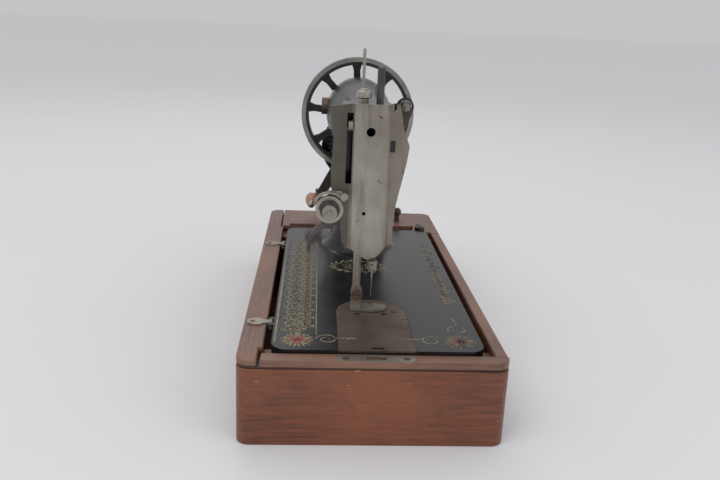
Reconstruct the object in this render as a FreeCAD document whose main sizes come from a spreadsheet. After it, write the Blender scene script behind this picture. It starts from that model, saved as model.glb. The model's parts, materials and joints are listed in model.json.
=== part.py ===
import FreeCAD, Part
import Sketcher
import math
import os

# A hand-crank sewing machine hinged in its wooden cover-box base.
# X runs along the bed from the needle end to the handwheel end, Y to the rear, Z up.
# The origin is the centre of the base's underside. All sizes are in millimetres.

os.makedirs("parts", exist_ok=True)
document = FreeCAD.newDocument("SewingMachine")
sheet = document.addObject("Spreadsheet::Sheet", "Dimensions")

DIMENSIONS = {
    # wooden base
    "base_length": 490.0,
    "base_width": 226.0,
    "base_height": 77.0,
    "frame_thick": 6.0,
    "bead_thick": 2.0,
    "bead_inset": 0.9,
    "end_board_thick": 14.0,
    "side_board_thick": 10.0,
    "corner_radius": 11.0,
    "frame_corner_radius": 12.0,
    "bottom_thick": 6.0,
    "near_rail_width": 14.0,
    "front_rail_width": 11.0,
    "rear_rail_width": 21.0,
    "rear_rail_joint": 17.5,
    "open_joint": 2.6,
    "far_rail_start": 162.0,
    "board_proud": 3.0,
    "lid_depth": 70.0,
    "lid_front": -80.0,
    "lid_rear": 12.0,
    "lid_thick": 9.0,
    "lid_gap": 0.6,
    "lid_rod_radius": 1.5,
    "tray_wall": 5.0,
    "rest_block_size": 24.0,
    # lock plate, hinge plates and latch
    "lock_length": 66.0,
    "lock_width": 12.0,
    "lock_thick": 1.2,
    "lock_centre_y": -1.5,
    "lock_slot_length": 17.0,
    "lock_slot_width": 4.4,
    "lock_screw_pitch": 50.0,
    "hinge_plate_length": 18.0,
    "hinge_plate_width": 15.0,
    "hinge_plate_thick": 1.2,
    "hinge_near": -167.0,
    "hinge_far": 76.0,
    "hinge_pin_radius": 2.0,
    "hinge_axis_y": 88.8,
    "hinge_axis_z": 75.5,
    "latch_x": 151.0,
    "latch_y": -88.0,
    "latch_radius": 6.5,
    # bed casting
    "bed_near": -230.0,
    "bed_length": 371.0,
    "bed_rear": 85.5,
    "bed_width": 180.0,
    "bed_top": 80.0,
    "bed_rim_depth": 11.0,
    "bed_plate_thick": 5.0,
    "bed_rim_thick": 7.0,
    "bed_corner_radius": 14.0,
    "plate_width": 65.0,
    "plate_centre_y": -3.0,
    "plate_thick": 1.8,
    "plate_gap": 0.15,
    "slide_plate_end": -161.5,
    "needle_plate_length": 48.5,
    # head, arm and pillar castings
    "shaft_y": 1.0,
    "shaft_z": 228.5,
    "shaft_radius": 6.0,
    "running_gap": 0.05,
    "bars_x": -131.0,
    "needle_bar_y": -3.2,
    "needle_bar_radius": 3.4,
    "needle_bar_top": 303.0,
    "presser_bar_y": 11.0,
    "presser_bar_radius": 3.7,
    "head_front_x": -145.0,
    "head_depth": 34.0,
    "head_top": 271.0,
    "head_bottom": 152.0,
    "head_wall": 5.0,
    "pillar_x": 78.0,
    "arm_end_x": 132.0,
    "faceplate_thick": 2.0,
    "faceplate_hump": 4.0,
    # handwheel and hand crank
    "wheel_x": 146.0,
    "wheel_radius": 70.0,
    "rim_width": 14.0,
    "rim_depth": 9.0,
    "hub_radius": 16.0,
    "spoke_count": 9,
    "spoke_width": 8.0,
    "spoke_phase": -3.0,
    "pinion_teeth": 12,
    "gear_teeth": 36,
    "gear_module": 1.875,
    "gear_x": 170.0,
    "gear_thick": 7.0,
    "case_radius": 43.5,
    "case_wall": 2.5,
    "case_end": 183.0,
    "crank_radius": 88.4,
    "handle_offset": 10.0,
    "crank_angle": -59.3,
    "crank_arm_x": 204.0,
    "crank_arm_thick": 6.0,
    "handle_length": 38.0,
    "handle_radius": 8.2,
    "handle_ball_radius": 5.0,
    # small fittings
    "tension_y": 39.0,
    "tension_z": 180.0,
    "tension_radius": 12.5,
    "spring_wire": 0.9,
    "spring_turns": 4,
    "spool_pin_radius": 1.5,
    "spool_pin_top": 316.0,
    "spool_pin_x": -64.0,
    "spool_pin_y": 8.0,
    "winder_x": 124.0,
    "winder_y": -56.0,
    "winder_z": 243.0,
}

for row, (alias, number) in enumerate(DIMENSIONS.items(), start=1):
    sheet.set("A%d" % row, alias)
    sheet.set("B%d" % row, str(number))
    sheet.setAlias("B%d" % row, alias)
document.recompute()


class Size:
    """A length that knows the sheet expression it comes from."""

    def __init__(self, number, text=None):
        self.number = float(number)
        self.text = text if text is not None else "%.6f" % float(number)

    def joined(self, other, sign, number):
        return Size(number, "(%s %s %s)" % (self.text, sign, other.text))

    def __add__(self, other):
        other = as_size(other)
        return self.joined(other, "+", self.number + other.number)

    def __radd__(self, other):
        return as_size(other) + self

    def __sub__(self, other):
        other = as_size(other)
        return self.joined(other, "-", self.number - other.number)

    def __rsub__(self, other):
        return as_size(other) - self

    def __mul__(self, other):
        other = as_size(other)
        return self.joined(other, "*", self.number * other.number)

    def __rmul__(self, other):
        return as_size(other) * self

    def __truediv__(self, other):
        other = as_size(other)
        return self.joined(other, "/", self.number / other.number)

    def __neg__(self):
        return as_size(0) - self

    def __float__(self):
        return self.number


def as_size(value):
    return value if isinstance(value, Size) else Size(value)


class Driving:
    """The sheet's cells as sizes, read by their aliases."""

    def __getattr__(self, alias):
        return Size(sheet.get(alias), "Dimensions." + alias)


d = Driving()
nodes = {}


# Helpers that make bound pieces

def bind(piece, prop, size):
    piece.setExpression(prop, as_size(size).text)


def place(piece, at, rotation=None):
    """Binds the placement's base to three sizes."""
    base = FreeCAD.Vector(*[float(as_size(value)) for value in at])
    piece.Placement = FreeCAD.Placement(base, rotation or FreeCAD.Rotation())
    for letter, value in zip("xyz", at):
        bind(piece, "Placement.Base." + letter, value)


TURN = {
    "X": FreeCAD.Rotation(FreeCAD.Vector(0, 1, 0), 90),
    "Y": FreeCAD.Rotation(FreeCAD.Vector(1, 0, 0), -90),
    "Z": FreeCAD.Rotation(),
}


def box(name, low, high):
    piece = document.addObject("Part::Box", name)
    for prop, start, end in zip(("Length", "Width", "Height"), low, high):
        bind(piece, prop, as_size(end) - start)
    place(piece, low)
    return piece


def rod(name, axis, start, radius, length):
    """A cylinder that runs along +X, +Y or +Z from its start point."""
    piece = document.addObject("Part::Cylinder", name)
    bind(piece, "Radius", radius)
    bind(piece, "Height", length)
    place(piece, start, TURN[axis])
    return piece


def cone(name, axis, start, first_radius, second_radius, length):
    piece = document.addObject("Part::Cone", name)
    bind(piece, "Radius1", first_radius)
    bind(piece, "Radius2", second_radius)
    bind(piece, "Height", length)
    place(piece, start, TURN[axis])
    return piece


def ball(name, centre, radius):
    piece = document.addObject("Part::Sphere", name)
    bind(piece, "Radius", radius)
    place(piece, centre)
    return piece


def fuse(name, pieces):
    piece = document.addObject("Part::MultiFuse", name)
    piece.Shapes = pieces
    piece.Refine = True
    return piece


def cut(name, base, tools):
    piece = document.addObject("Part::Cut", name)
    piece.Base = base
    piece.Tool = tools[0] if len(tools) == 1 else fuse(name + "_cuts", tools)
    return piece


def group(name, pieces):
    piece = document.addObject("Part::Compound", name)
    piece.Links = pieces
    return piece


def feature(name, shape):
    piece = document.addObject("Part::Feature", name)
    piece.Shape = shape
    return piece


PLANE_ROLE = {"XY": "XY_Plane", "YZ": "YZ_Plane", "XZ": "XZ_Plane"}
PLANE_AXES = {"XY": (0, 1), "YZ": (1, 2), "XZ": (0, 2)}


def origin_plane(body, plane):
    for item in body.Origin.OriginFeatures:
        if item.Role == PLANE_ROLE[plane]:
            return item
    raise RuntimeError("no plane " + plane)


def new_sketch(body, name, plane, offset):
    sketch = body.newObject("Sketcher::SketchObject", name)
    sketch.AttachmentSupport = [(origin_plane(body, plane), "")]
    sketch.MapMode = "FlatFace"
    sign = -1 if plane == "XZ" else 1
    bind(sketch, "AttachmentOffset.Base.z", as_size(offset) * sign)
    return sketch


def pin_point(sketch, geometry, end, point):
    """Ties one end of a sketch line, or a circle's centre, to two sizes."""
    for kind, value in zip(("DistanceX", "DistanceY"), point):
        index = sketch.addConstraint(
            Sketcher.Constraint(kind, -1, 1, geometry, end, float(as_size(value)))
        )
        bind(sketch, "Constraints[%d]" % index, value)


def draw_outline(sketch, points):
    count = len(points)
    vectors = [FreeCAD.Vector(float(as_size(u)), float(as_size(v)), 0) for u, v in points]
    for number in range(count):
        line = Part.LineSegment(vectors[number], vectors[(number + 1) % count])
        sketch.addGeometry(line, False)
    for number in range(count):
        follow = (number + 1) % count
        sketch.addConstraint(Sketcher.Constraint("Coincident", number, 2, follow, 1))
    for number, point in enumerate(points):
        pin_point(sketch, number, 1, point)


def draw_hole(sketch, centre, radius):
    middle = FreeCAD.Vector(float(as_size(centre[0])), float(as_size(centre[1])), 0)
    circle = Part.Circle(middle, FreeCAD.Vector(0, 0, 1), float(as_size(radius)))
    number = sketch.addGeometry(circle, False)
    pin_point(sketch, number, 3, centre)
    index = sketch.addConstraint(
        Sketcher.Constraint("Radius", number, float(as_size(radius)))
    )
    bind(sketch, "Constraints[%d]" % index, radius)


def panel(name, plane, points, start, thick, holes=(), rounded=(), radius=0):
    """A padded outline with round holes; rounded lists the corners to fillet."""
    body = document.addObject("PartDesign::Body", name)
    sketch = new_sketch(body, name + "_outline", plane, start)
    draw_outline(sketch, points)
    for centre, hole_radius in holes:
        draw_hole(sketch, centre, hole_radius)
    pad = body.newObject("PartDesign::Pad", name + "_pad")
    pad.Profile = sketch
    pad.Reversed = plane == "XZ"
    bind(pad, "Length", thick)
    sketch.Visibility = False
    body.Tip = pad
    if rounded:
        document.recompute()
        corners = [points[number] for number in rounded]
        fillet = body.newObject("PartDesign::Fillet", name + "_fillet")
        fillet.Base = (pad, edges_at(pad.Shape, plane, corners))
        bind(fillet, "Radius", radius)
        body.Tip = fillet
    return body


def edges_at(shape, plane, corners):
    """The names of the edges that run square to the plane through the corners."""
    first, second = PLANE_AXES[plane]
    found = []
    for number, edge in enumerate(shape.Edges, start=1):
        if len(edge.Vertexes) != 2:
            continue
        start = edge.Vertexes[0].Point
        end = edge.Vertexes[1].Point
        if abs(start[first] - end[first]) > 1e-6 or abs(start[second] - end[second]) > 1e-6:
            continue
        for u, v in corners:
            near_u = abs(start[first] - float(as_size(u))) < 1e-4
            near_v = abs(start[second] - float(as_size(v))) < 1e-4
            if near_u and near_v:
                found.append("Edge%d" % number)
    return found


def rectangle(low_u, low_v, high_u, high_v):
    return [(low_u, low_v), (high_u, low_v), (high_u, high_v), (low_u, high_v)]


def keep(name, piece):
    """Files a finished piece under its node name."""
    piece.Label = name
    nodes[name] = piece


# Places worked out from the driving sizes

half_length = d.base_length / 2
half_width = d.base_width / 2
side_height = d.base_height - d.frame_thick - d.bead_thick
frame_bottom = d.base_height - d.frame_thick
inner_near = -half_length + d.end_board_thick
inner_far = half_length - d.end_board_thick
inner_front = -half_width + d.side_board_thick
inner_rear = half_width - d.side_board_thick
rail_near = -half_length + d.near_rail_width
rail_front = -half_width + d.front_rail_width
rail_rear = half_width - d.rear_rail_width
joint_y = half_width - d.rear_rail_joint
bed_far = d.bed_near + d.bed_length
bed_front = d.bed_rear - d.bed_width
bed_bottom = d.bed_top - d.bed_rim_depth
plate_front = d.plate_centre_y - d.plate_width / 2
plate_rear = d.plate_centre_y + d.plate_width / 2
head_back = d.head_front_x + d.head_depth
gear_centres = d.gear_module * (d.pinion_teeth + d.gear_teeth) / 2
crank_z = d.shaft_z - gear_centres


# The wooden base

def make_base_boards():
    near = panel(
        "near_end_board",
        "XY",
        rectangle(-half_length, -half_width, inner_near, half_width),
        0,
        side_height,
        rounded=(0, 3),
        radius=d.corner_radius,
    )
    far = panel(
        "far_end_board",
        "XY",
        rectangle(inner_far, -half_width, half_length, half_width),
        0,
        side_height,
        rounded=(1, 2),
        radius=d.corner_radius,
    )
    keep("near_end_board", near)
    keep("far_end_board", far)
    front = box("front_board", (inner_near, -half_width, 0), (inner_far, inner_front, side_height))
    rear = box("rear_board", (inner_near, inner_rear, 0), (inner_far, half_width, side_height))
    keep("front_board", front)
    keep("rear_board", rear)
    bottom = box(
        "bottom_board",
        (inner_near, inner_front, 0),
        (inner_far, inner_rear, d.bottom_thick),
    )
    keep("bottom_board", bottom)


def make_edge_bead():
    outer = panel(
        "bead_outer",
        "XY",
        rectangle(
            -half_length + d.bead_inset,
            -half_width + d.bead_inset,
            half_length - d.bead_inset,
            half_width - d.bead_inset,
        ),
        side_height,
        d.bead_thick,
        rounded=(0, 1, 2, 3),
        radius=d.corner_radius,
    )
    inner = box(
        "bead_inner",
        (rail_near - 3, inner_front, side_height - 1),
        (inner_far, inner_rear, frame_bottom + 1),
    )
    keep("edge_bead", cut("edge_bead", outer, [inner]))


def make_rails():
    """The top frame: the rear rail runs full length and the others meet it."""
    rear = panel(
        "rear_rail",
        "XY",
        [
            (-half_length, joint_y),
            (rail_near + 12, joint_y),
            (rail_near + 12, rail_rear),
            (d.far_rail_start - 4, rail_rear),
            (d.far_rail_start - 4, joint_y),
            (half_length, joint_y),
            (half_length, half_width),
            (-half_length, half_width),
        ],
        frame_bottom,
        d.frame_thick,
        rounded=(6, 7),
        radius=d.frame_corner_radius,
    )
    keep("rear_rail", rear)
    joint_end = joint_y - d.open_joint
    near_rail = panel(
        "near_rail",
        "XY",
        rectangle(-half_length, -half_width, rail_near, joint_end),
        frame_bottom,
        d.frame_thick,
        rounded=(0,),
        radius=d.frame_corner_radius,
    )
    lock_recess = panel(
        "lock_recess",
        "XY",
        lock_outline(0.05),
        d.base_height - d.lock_thick,
        d.lock_thick + 1,
        rounded=(0, 1, 2, 3),
        radius=d.lock_width / 2 - 0.1,
    )
    lock_well = box(
        "lock_well",
        (
            lock_centre_x() - d.lock_slot_width / 2,
            d.lock_centre_y - d.lock_slot_length / 2,
            frame_bottom - 1,
        ),
        (
            lock_centre_x() + d.lock_slot_width / 2,
            d.lock_centre_y + d.lock_slot_length / 2,
            d.base_height + 1,
        ),
    )
    keep("near_rail", cut("near_rail_cut", near_rail, [lock_recess, lock_well]))
    front = box(
        "front_rail",
        (rail_near, -half_width, frame_bottom),
        (d.far_rail_start - 22, rail_front, d.base_height),
    )
    keep("front_rail", front)
    far = panel(
        "far_rail_blank",
        "XY",
        [
            (d.far_rail_start - 22, -half_width),
            (half_length, -half_width),
            (half_length, joint_y - 1.2),
            (d.far_rail_start, joint_y - 1.2),
            (d.far_rail_start, rail_front + 24),
            (d.far_rail_start - 16, rail_front + 24),
            (d.far_rail_start - 16, rail_front),
            (d.far_rail_start - 22, rail_front),
        ],
        frame_bottom,
        d.frame_thick,
        rounded=(1,),
        radius=d.frame_corner_radius,
    )
    opening = box(
        "lid_opening",
        (d.far_rail_start - 1, d.lid_front - d.lid_gap, frame_bottom - 1),
        (d.far_rail_start + d.lid_depth + d.lid_gap + 0.4, d.lid_rear + d.lid_gap, d.base_height + 1),
    )
    keep("far_rail", cut("far_rail", far, [opening]))


def make_far_board():
    """The fixed raised board beside the compartment's lid."""
    board = panel(
        "far_board",
        "XY",
        rectangle(
            d.far_rail_start,
            d.lid_rear + d.lid_gap,
            d.far_rail_start + d.lid_depth,
            rail_rear - 8,
        ),
        d.base_height,
        d.board_proud,
        rounded=(2,),
        radius=9,
    )
    keep("far_board", board)


def make_compartment():
    """The tray under the lid, hung between the partition and the far board."""
    top = side_height
    floor = top - 46
    outer = box(
        "tray_outer",
        (d.far_rail_start + 2, d.lid_front - 12, floor),
        (inner_far, d.lid_rear + 20, top),
    )
    inner = box(
        "tray_inner",
        (d.far_rail_start + 2 + d.tray_wall, d.lid_front - 12 + d.tray_wall, floor + d.tray_wall),
        (inner_far - d.tray_wall, d.lid_rear + 20 - d.tray_wall, top + 1),
    )
    tray = cut("tray_box", outer, [inner])
    partition = box(
        "partition",
        (d.far_rail_start - 4, inner_front, d.bottom_thick),
        (d.far_rail_start + 2, inner_rear, side_height),
    )
    keep("compartment_tray", group("compartment_tray", [tray, partition]))


def make_rest_blocks():
    """Blocks in the corners that the bed's rim rests on."""
    size = d.rest_block_size
    blocks = []
    places = {
        "rear_near": (inner_near, inner_rear - size),
        "front_near": (inner_near, inner_front),
        "front_far": (d.far_rail_start - 4 - size, inner_front),
        "rear_far": (d.far_rail_start - 4 - size, inner_rear - size),
    }
    for name, (x, y) in places.items():
        blocks.append(box("block_" + name, (x, y, d.bottom_thick), (x + size, y + size, side_height)))
    keep("rest_blocks", group("rest_blocks", blocks))
    return rod(
        "latch_post",
        "Z",
        (d.latch_x, d.latch_y, d.base_height),
        d.latch_radius / 3,
        7,
    )


# Metal fittings on the base

def lock_centre_x():
    return rail_near - 1 - d.lock_width / 2


def lock_outline(gap):
    half_x = d.lock_width / 2 + gap
    half_y = d.lock_length / 2 + gap
    centre = lock_centre_x()
    return rectangle(
        centre - half_x, d.lock_centre_y - half_y, centre + half_x, d.lock_centre_y + half_y
    )


def make_lock_plate():
    centre = lock_centre_x()
    screw_places = [
        (centre, d.lock_centre_y - d.lock_screw_pitch / 2),
        (centre, d.lock_centre_y + d.lock_screw_pitch / 2),
    ]
    plate = panel(
        "lock_plate_blank",
        "XY",
        lock_outline(0),
        d.base_height - d.lock_thick,
        d.lock_thick,
        holes=[(point, 3.1) for point in screw_places],
        rounded=(0, 1, 2, 3),
        radius=d.lock_width / 2 - 0.15,
    )
    slot = box(
        "lock_slot",
        (centre - d.lock_slot_width / 2, d.lock_centre_y - d.lock_slot_length / 2, frame_bottom),
        (centre + d.lock_slot_width / 2, d.lock_centre_y + d.lock_slot_length / 2, d.base_height + 1),
    )
    keep("lock_plate", cut("lock_plate", plate, [slot]))
    screws = []
    for number, (x, y) in enumerate(screw_places):
        screws.append(slotted_head("lock_screw_%d" % number, (x, y, d.base_height - d.lock_thick), 3.05, 1.0))
    return screws


def slotted_head(name, base, radius, height):
    """A screw head on +Z with a straight slot across it."""
    x, y, z = base
    head = rod(name + "_head", "Z", base, radius, height)
    slot = box(
        name + "_slot",
        (as_size(x) - 0.4, as_size(y) - radius - 1, as_size(z) + height * 0.5),
        (as_size(x) + 0.4, as_size(y) + radius + 1, as_size(z) + height + 1),
    )
    return cut(name, head, [slot])


def make_hinges():
    """Two leaf plates on the rear rail, each with a lug that holds its pin."""
    plates = []
    screws = []
    for name, x in (("near", d.hinge_near), ("far", d.hinge_far)):
        half = d.hinge_plate_width / 2
        outer_y = rail_rear + d.hinge_plate_length
        plate = panel(
            "hinge_leaf_" + name,
            "XY",
            [
                (x - half, outer_y - 6),
                (x - 4, outer_y),
                (x + 4, outer_y),
                (x + half, outer_y - 6),
                (x + half, rail_rear + 7),
                (x + 3.5, rail_rear + 2.5),
                (x + 3.5, rail_rear - 0.4),
                (x - 3.5, rail_rear - 0.4),
                (x - 3.5, rail_rear + 2.5),
                (x - half, rail_rear + 7),
            ],
            d.base_height,
            d.hinge_plate_thick,
            holes=[((x, outer_y - 5), 2.2)],
        )
        lug = box(
            "hinge_lug_" + name,
            (x - 3.5, rail_rear - 1.4, d.hinge_axis_z - 3),
            (x + 3.5, rail_rear - 0.02, d.base_height + d.hinge_plate_thick),
        )
        barrel = rod(
            "hinge_barrel_" + name,
            "X",
            (x - 3.5, d.hinge_axis_y, d.hinge_axis_z),
            d.hinge_pin_radius + 1.1,
            7,
        )
        bore = rod(
            "hinge_bore_" + name,
            "X",
            (x - 6, d.hinge_axis_y, d.hinge_axis_z),
            d.hinge_pin_radius + d.running_gap,
            12,
        )
        whole = fuse("hinge_whole_" + name, [plate, lug, barrel])
        plates.append(cut("hinge_plate_" + name, whole, [bore]))
        screws.append(slotted_head("hinge_screw_" + name, (x, outer_y - 5, d.base_height), 2.15, 0.9))
    keep("hinge_plates", group("hinge_plates", plates))
    return screws


def make_hinge_pins():
    """The pins ride with the bed: each is held in two ears of the casting."""
    pins = []
    for name, x in (("near", d.hinge_near), ("far", d.hinge_far)):
        pins.append(
            rod(
                "pin_" + name,
                "X",
                (x - 9, d.hinge_axis_y, d.hinge_axis_z),
                d.hinge_pin_radius,
                18,
            )
        )
    keep("hinge_pins", group("hinge_pins", pins))


def make_latch():
    start = d.base_height + 0.3
    knob = rod("latch_knob", "Z", (d.latch_x, d.latch_y, start), d.latch_radius, 5.5)
    tongue = box(
        "latch_tongue",
        (d.latch_x, d.latch_y - 3, start + 3),
        (d.latch_x + 14, d.latch_y + 3, start + 5.5),
    )
    bore = rod(
        "latch_bore",
        "Z",
        (d.latch_x, d.latch_y, start - 1),
        d.latch_radius / 3 + d.running_gap,
        12,
    )
    keep("bed_latch", cut("bed_latch", fuse("latch_blank", [knob, tongue]), [bore]))


# The compartment's lid

def make_lid():
    lid_top = d.base_height + d.board_proud
    far_x = d.far_rail_start + d.lid_depth
    axis_x = far_x - 3.5
    axis_z = d.base_height - 1
    blank = panel(
        "lid_blank",
        "XY",
        rectangle(d.far_rail_start, d.lid_front, far_x - 4, d.lid_rear),
        lid_top - d.lid_thick,
        d.lid_thick,
        rounded=(0,),
        radius=9,
    )
    edge = rod("lid_edge", "Y", (axis_x, d.lid_front, axis_z), 4, d.lid_rear - d.lid_front)
    bore = rod(
        "lid_bore",
        "Y",
        (axis_x, d.lid_front - 1, axis_z),
        d.lid_rod_radius + d.running_gap,
        d.lid_rear - d.lid_front + 2,
    )
    relief = box(
        "lid_relief",
        (far_x - 3.9, d.lid_front - 1, lid_top - d.lid_thick - 1),
        (far_x + 5, d.lid_rear + 1, axis_z - 5),
    )
    keep("compartment_lid", cut("compartment_lid", fuse("lid_whole", [blank, edge]), [bore, relief]))
    hinge_rod = rod(
        "lid_rod",
        "Y",
        (axis_x, d.lid_front - d.lid_gap, axis_z),
        d.lid_rod_radius,
        d.lid_rear - d.lid_front + d.lid_gap * 2,
    )
    knob_x = d.far_rail_start + 26
    knob_y = d.lid_front + 19
    stem = cone("knob_stem", "Z", (knob_x, knob_y, lid_top), 4, 3, 9)
    cap = ball("knob_cap", (knob_x, knob_y, lid_top + 13), 5.8)
    keep("lid_knob", fuse("lid_knob", [stem, cap]))
    return hinge_rod


# The bed casting and its plates

def make_bed():
    outline = rectangle(d.bed_near, bed_front, bed_far, d.bed_rear)
    slab = panel(
        "bed_slab",
        "XY",
        outline,
        bed_bottom,
        d.bed_rim_depth,
        rounded=(0, 1, 2, 3),
        radius=d.bed_corner_radius,
    )
    rim = d.bed_rim_thick
    hollow = box(
        "bed_hollow",
        (d.bed_near + rim, bed_front + rim, bed_bottom - 1),
        (bed_far - rim, d.bed_rear - rim, d.bed_top - d.bed_plate_thick),
    )
    slide_recess = box(
        "slide_recess",
        (d.bed_near - 1, plate_front - d.plate_gap, d.bed_top - d.plate_thick - 0.1),
        (d.slide_plate_end, plate_rear + d.plate_gap, d.bed_top + 1),
    )
    needle_recess = needle_plate_blank(
        "needle_recess", d.bed_top - d.plate_thick, d.plate_thick + 1, d.plate_gap
    )
    well = box(
        "hook_well",
        (d.bed_near + 12, plate_front + 5, bed_bottom - 1),
        (d.slide_plate_end + 35, plate_rear - 5, d.bed_top + 1),
    )
    lug_tools = []
    ears = []
    for name, x in (("near", d.hinge_near), ("far", d.hinge_far)):
        for side, start in (("a", -9), ("b", 3.8)):
            ears.append(
                box(
                    "ear_%s_%s" % (name, side),
                    (x + start, d.bed_rear - rim, bed_bottom),
                    (x + start + 5.2, d.hinge_axis_y, d.hinge_axis_z + 3),
                )
            )
            ears.append(
                rod(
                    "ear_round_%s_%s" % (name, side),
                    "X",
                    (x + start, d.hinge_axis_y, d.hinge_axis_z),
                    3,
                    5.2,
                )
            )
        lug_tools.append(
            rod("ear_bore_" + name, "X", (x - 12, d.hinge_axis_y, d.hinge_axis_z), d.hinge_pin_radius, 24)
        )
        lug_tools.append(
            box(
                "ear_corner_" + name,
                (x - 12, d.bed_rear + 0.3, bed_bottom - 1),
                (x + 12, d.hinge_axis_y + 5, d.hinge_axis_z - 3),
            )
        )
        lug_tools.append(
            box(
                "ear_slot_" + name,
                (x - 3.8, d.bed_rear - 2.5, d.hinge_axis_z - 5),
                (x + 3.8, d.bed_rear + 6, d.bed_top - 1.5),
            )
        )
    bridges = [
        box(
            "shaft_bearing_far",
            (60, -34, bed_bottom - 22),
            (70, -8, d.bed_top - d.bed_plate_thick),
        ),
        box(
            "shaft_bearing_near",
            (-108, -34, bed_bottom - 22),
            (-98, -8, d.bed_top - d.bed_plate_thick),
        ),
        box(
            "feed_bearing_far",
            (60, 30, bed_bottom - 14),
            (70, 46, d.bed_top - d.bed_plate_thick),
        ),
        box(
            "feed_bearing_near",
            (-120, 30, bed_bottom - 14),
            (-110, 46, d.bed_top - d.bed_plate_thick),
        ),
    ]
    bores = [
        rod("hook_shaft_bore", "X", (-130, hook_y(), hook_z()), 5 + d.running_gap, 240),
        rod("feed_shaft_bore", "X", (-130, feed_shaft_y(), feed_shaft_z()), 4 + d.running_gap, 240),
    ]
    pillar_well = rod("pillar_well", "Z", (d.pillar_x, 1, bed_bottom - 1), 20, 40)
    solid = cut("bed_shell", slab, [hollow, slide_recess, needle_recess, well, pillar_well])
    whole = fuse("bed_whole", [solid] + ears + bridges)
    keep("bed", cut("bed", whole, lug_tools + bores))


def hook_y():
    return d.needle_bar_y - 17.8


def hook_z():
    return bed_bottom - 14


def feed_shaft_y():
    return d.presser_bar_y + 27


def feed_shaft_z():
    return bed_bottom - 8


def needle_plate_blank(name, start, thick, gap):
    """The plate's outline: straight sides that end in a half round."""
    radius = d.plate_width / 2 + gap
    centre_x = d.slide_plate_end + d.needle_plate_length - d.plate_width / 2
    straight = box(
        name + "_straight",
        (d.slide_plate_end, plate_front - gap, start),
        (centre_x, plate_rear + gap, start + thick),
    )
    round_end = rod(name + "_round", "Z", (centre_x, d.plate_centre_y, start), radius, thick)
    trim = box(
        name + "_trim",
        (d.slide_plate_end - 40, plate_front - 5, start - 1),
        (d.slide_plate_end + 0.3 - gap, plate_rear + 5, start + thick + 1),
    )
    return cut(name, fuse(name + "_whole", [straight, round_end]), [trim])


def make_plates():
    start = d.bed_top - d.plate_thick
    slide = panel(
        "slide_plate_blank",
        "XY",
        rectangle(d.bed_near, plate_front, d.slide_plate_end - 0.2, plate_rear),
        start,
        d.plate_thick,
    )
    finger = box(
        "finger_hole",
        (d.bed_near + 3, d.plate_centre_y - 5.5, start - 1),
        (d.bed_near + 7, d.plate_centre_y + 4.5, d.bed_top + 1),
    )
    keep("slide_plate", cut("slide_plate", slide, [finger]))
    blank = needle_plate_blank("needle_plate_blank", start, d.plate_thick, 0)
    hole = rod("needle_hole", "Z", (d.bars_x, d.needle_bar_y, start - 1), 1.3, 5)
    slots = []
    for number, x in enumerate((feed_x() - 5, feed_x() + 5)):
        slots.append(
            box(
                "feed_slot_%d" % number,
                (x - 1.9, d.needle_bar_y - 14, start - 1),
                (x + 1.9, d.needle_bar_y + 16, d.bed_top + 1),
            )
        )
    keep("needle_plate", cut("needle_plate", blank, [hole] + slots))
    screw = slotted_head("needle_plate_screw", (d.bars_x - 11, plate_front + 10, d.bed_top), 3.0, 0.6)
    return screw


def feed_x():
    return d.bars_x - 14


def make_feed_dog():
    """Two toothed rows on a carrier under the needle plate."""
    top = d.bed_top - 0.3
    carrier_z = d.bed_top - d.plate_thick - 6
    parts = [
        box(
            "feed_carrier",
            (feed_x() - 7, d.needle_bar_y - 9, carrier_z),
            (feed_x() + 7, d.needle_bar_y + 11, carrier_z + 3),
        )
    ]
    for row, x in enumerate((feed_x() - 5, feed_x() + 5)):
        parts.append(
            box(
                "feed_row_%d" % row,
                (x - 1.3, d.needle_bar_y - 9, carrier_z + 2),
                (x + 1.3, d.needle_bar_y + 11, top - 0.8),
            )
        )
        for tooth in range(8):
            y = d.needle_bar_y - 8.6 + tooth * 2.5
            parts.append(
                box(
                    "feed_tooth_%d_%d" % (row, tooth),
                    (x - 1.3, y, top - 1),
                    (x + 1.3, y + 1.2, top),
                )
            )
    keep("feed_dog", fuse("feed_dog", parts))


# Works under the bed

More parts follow.
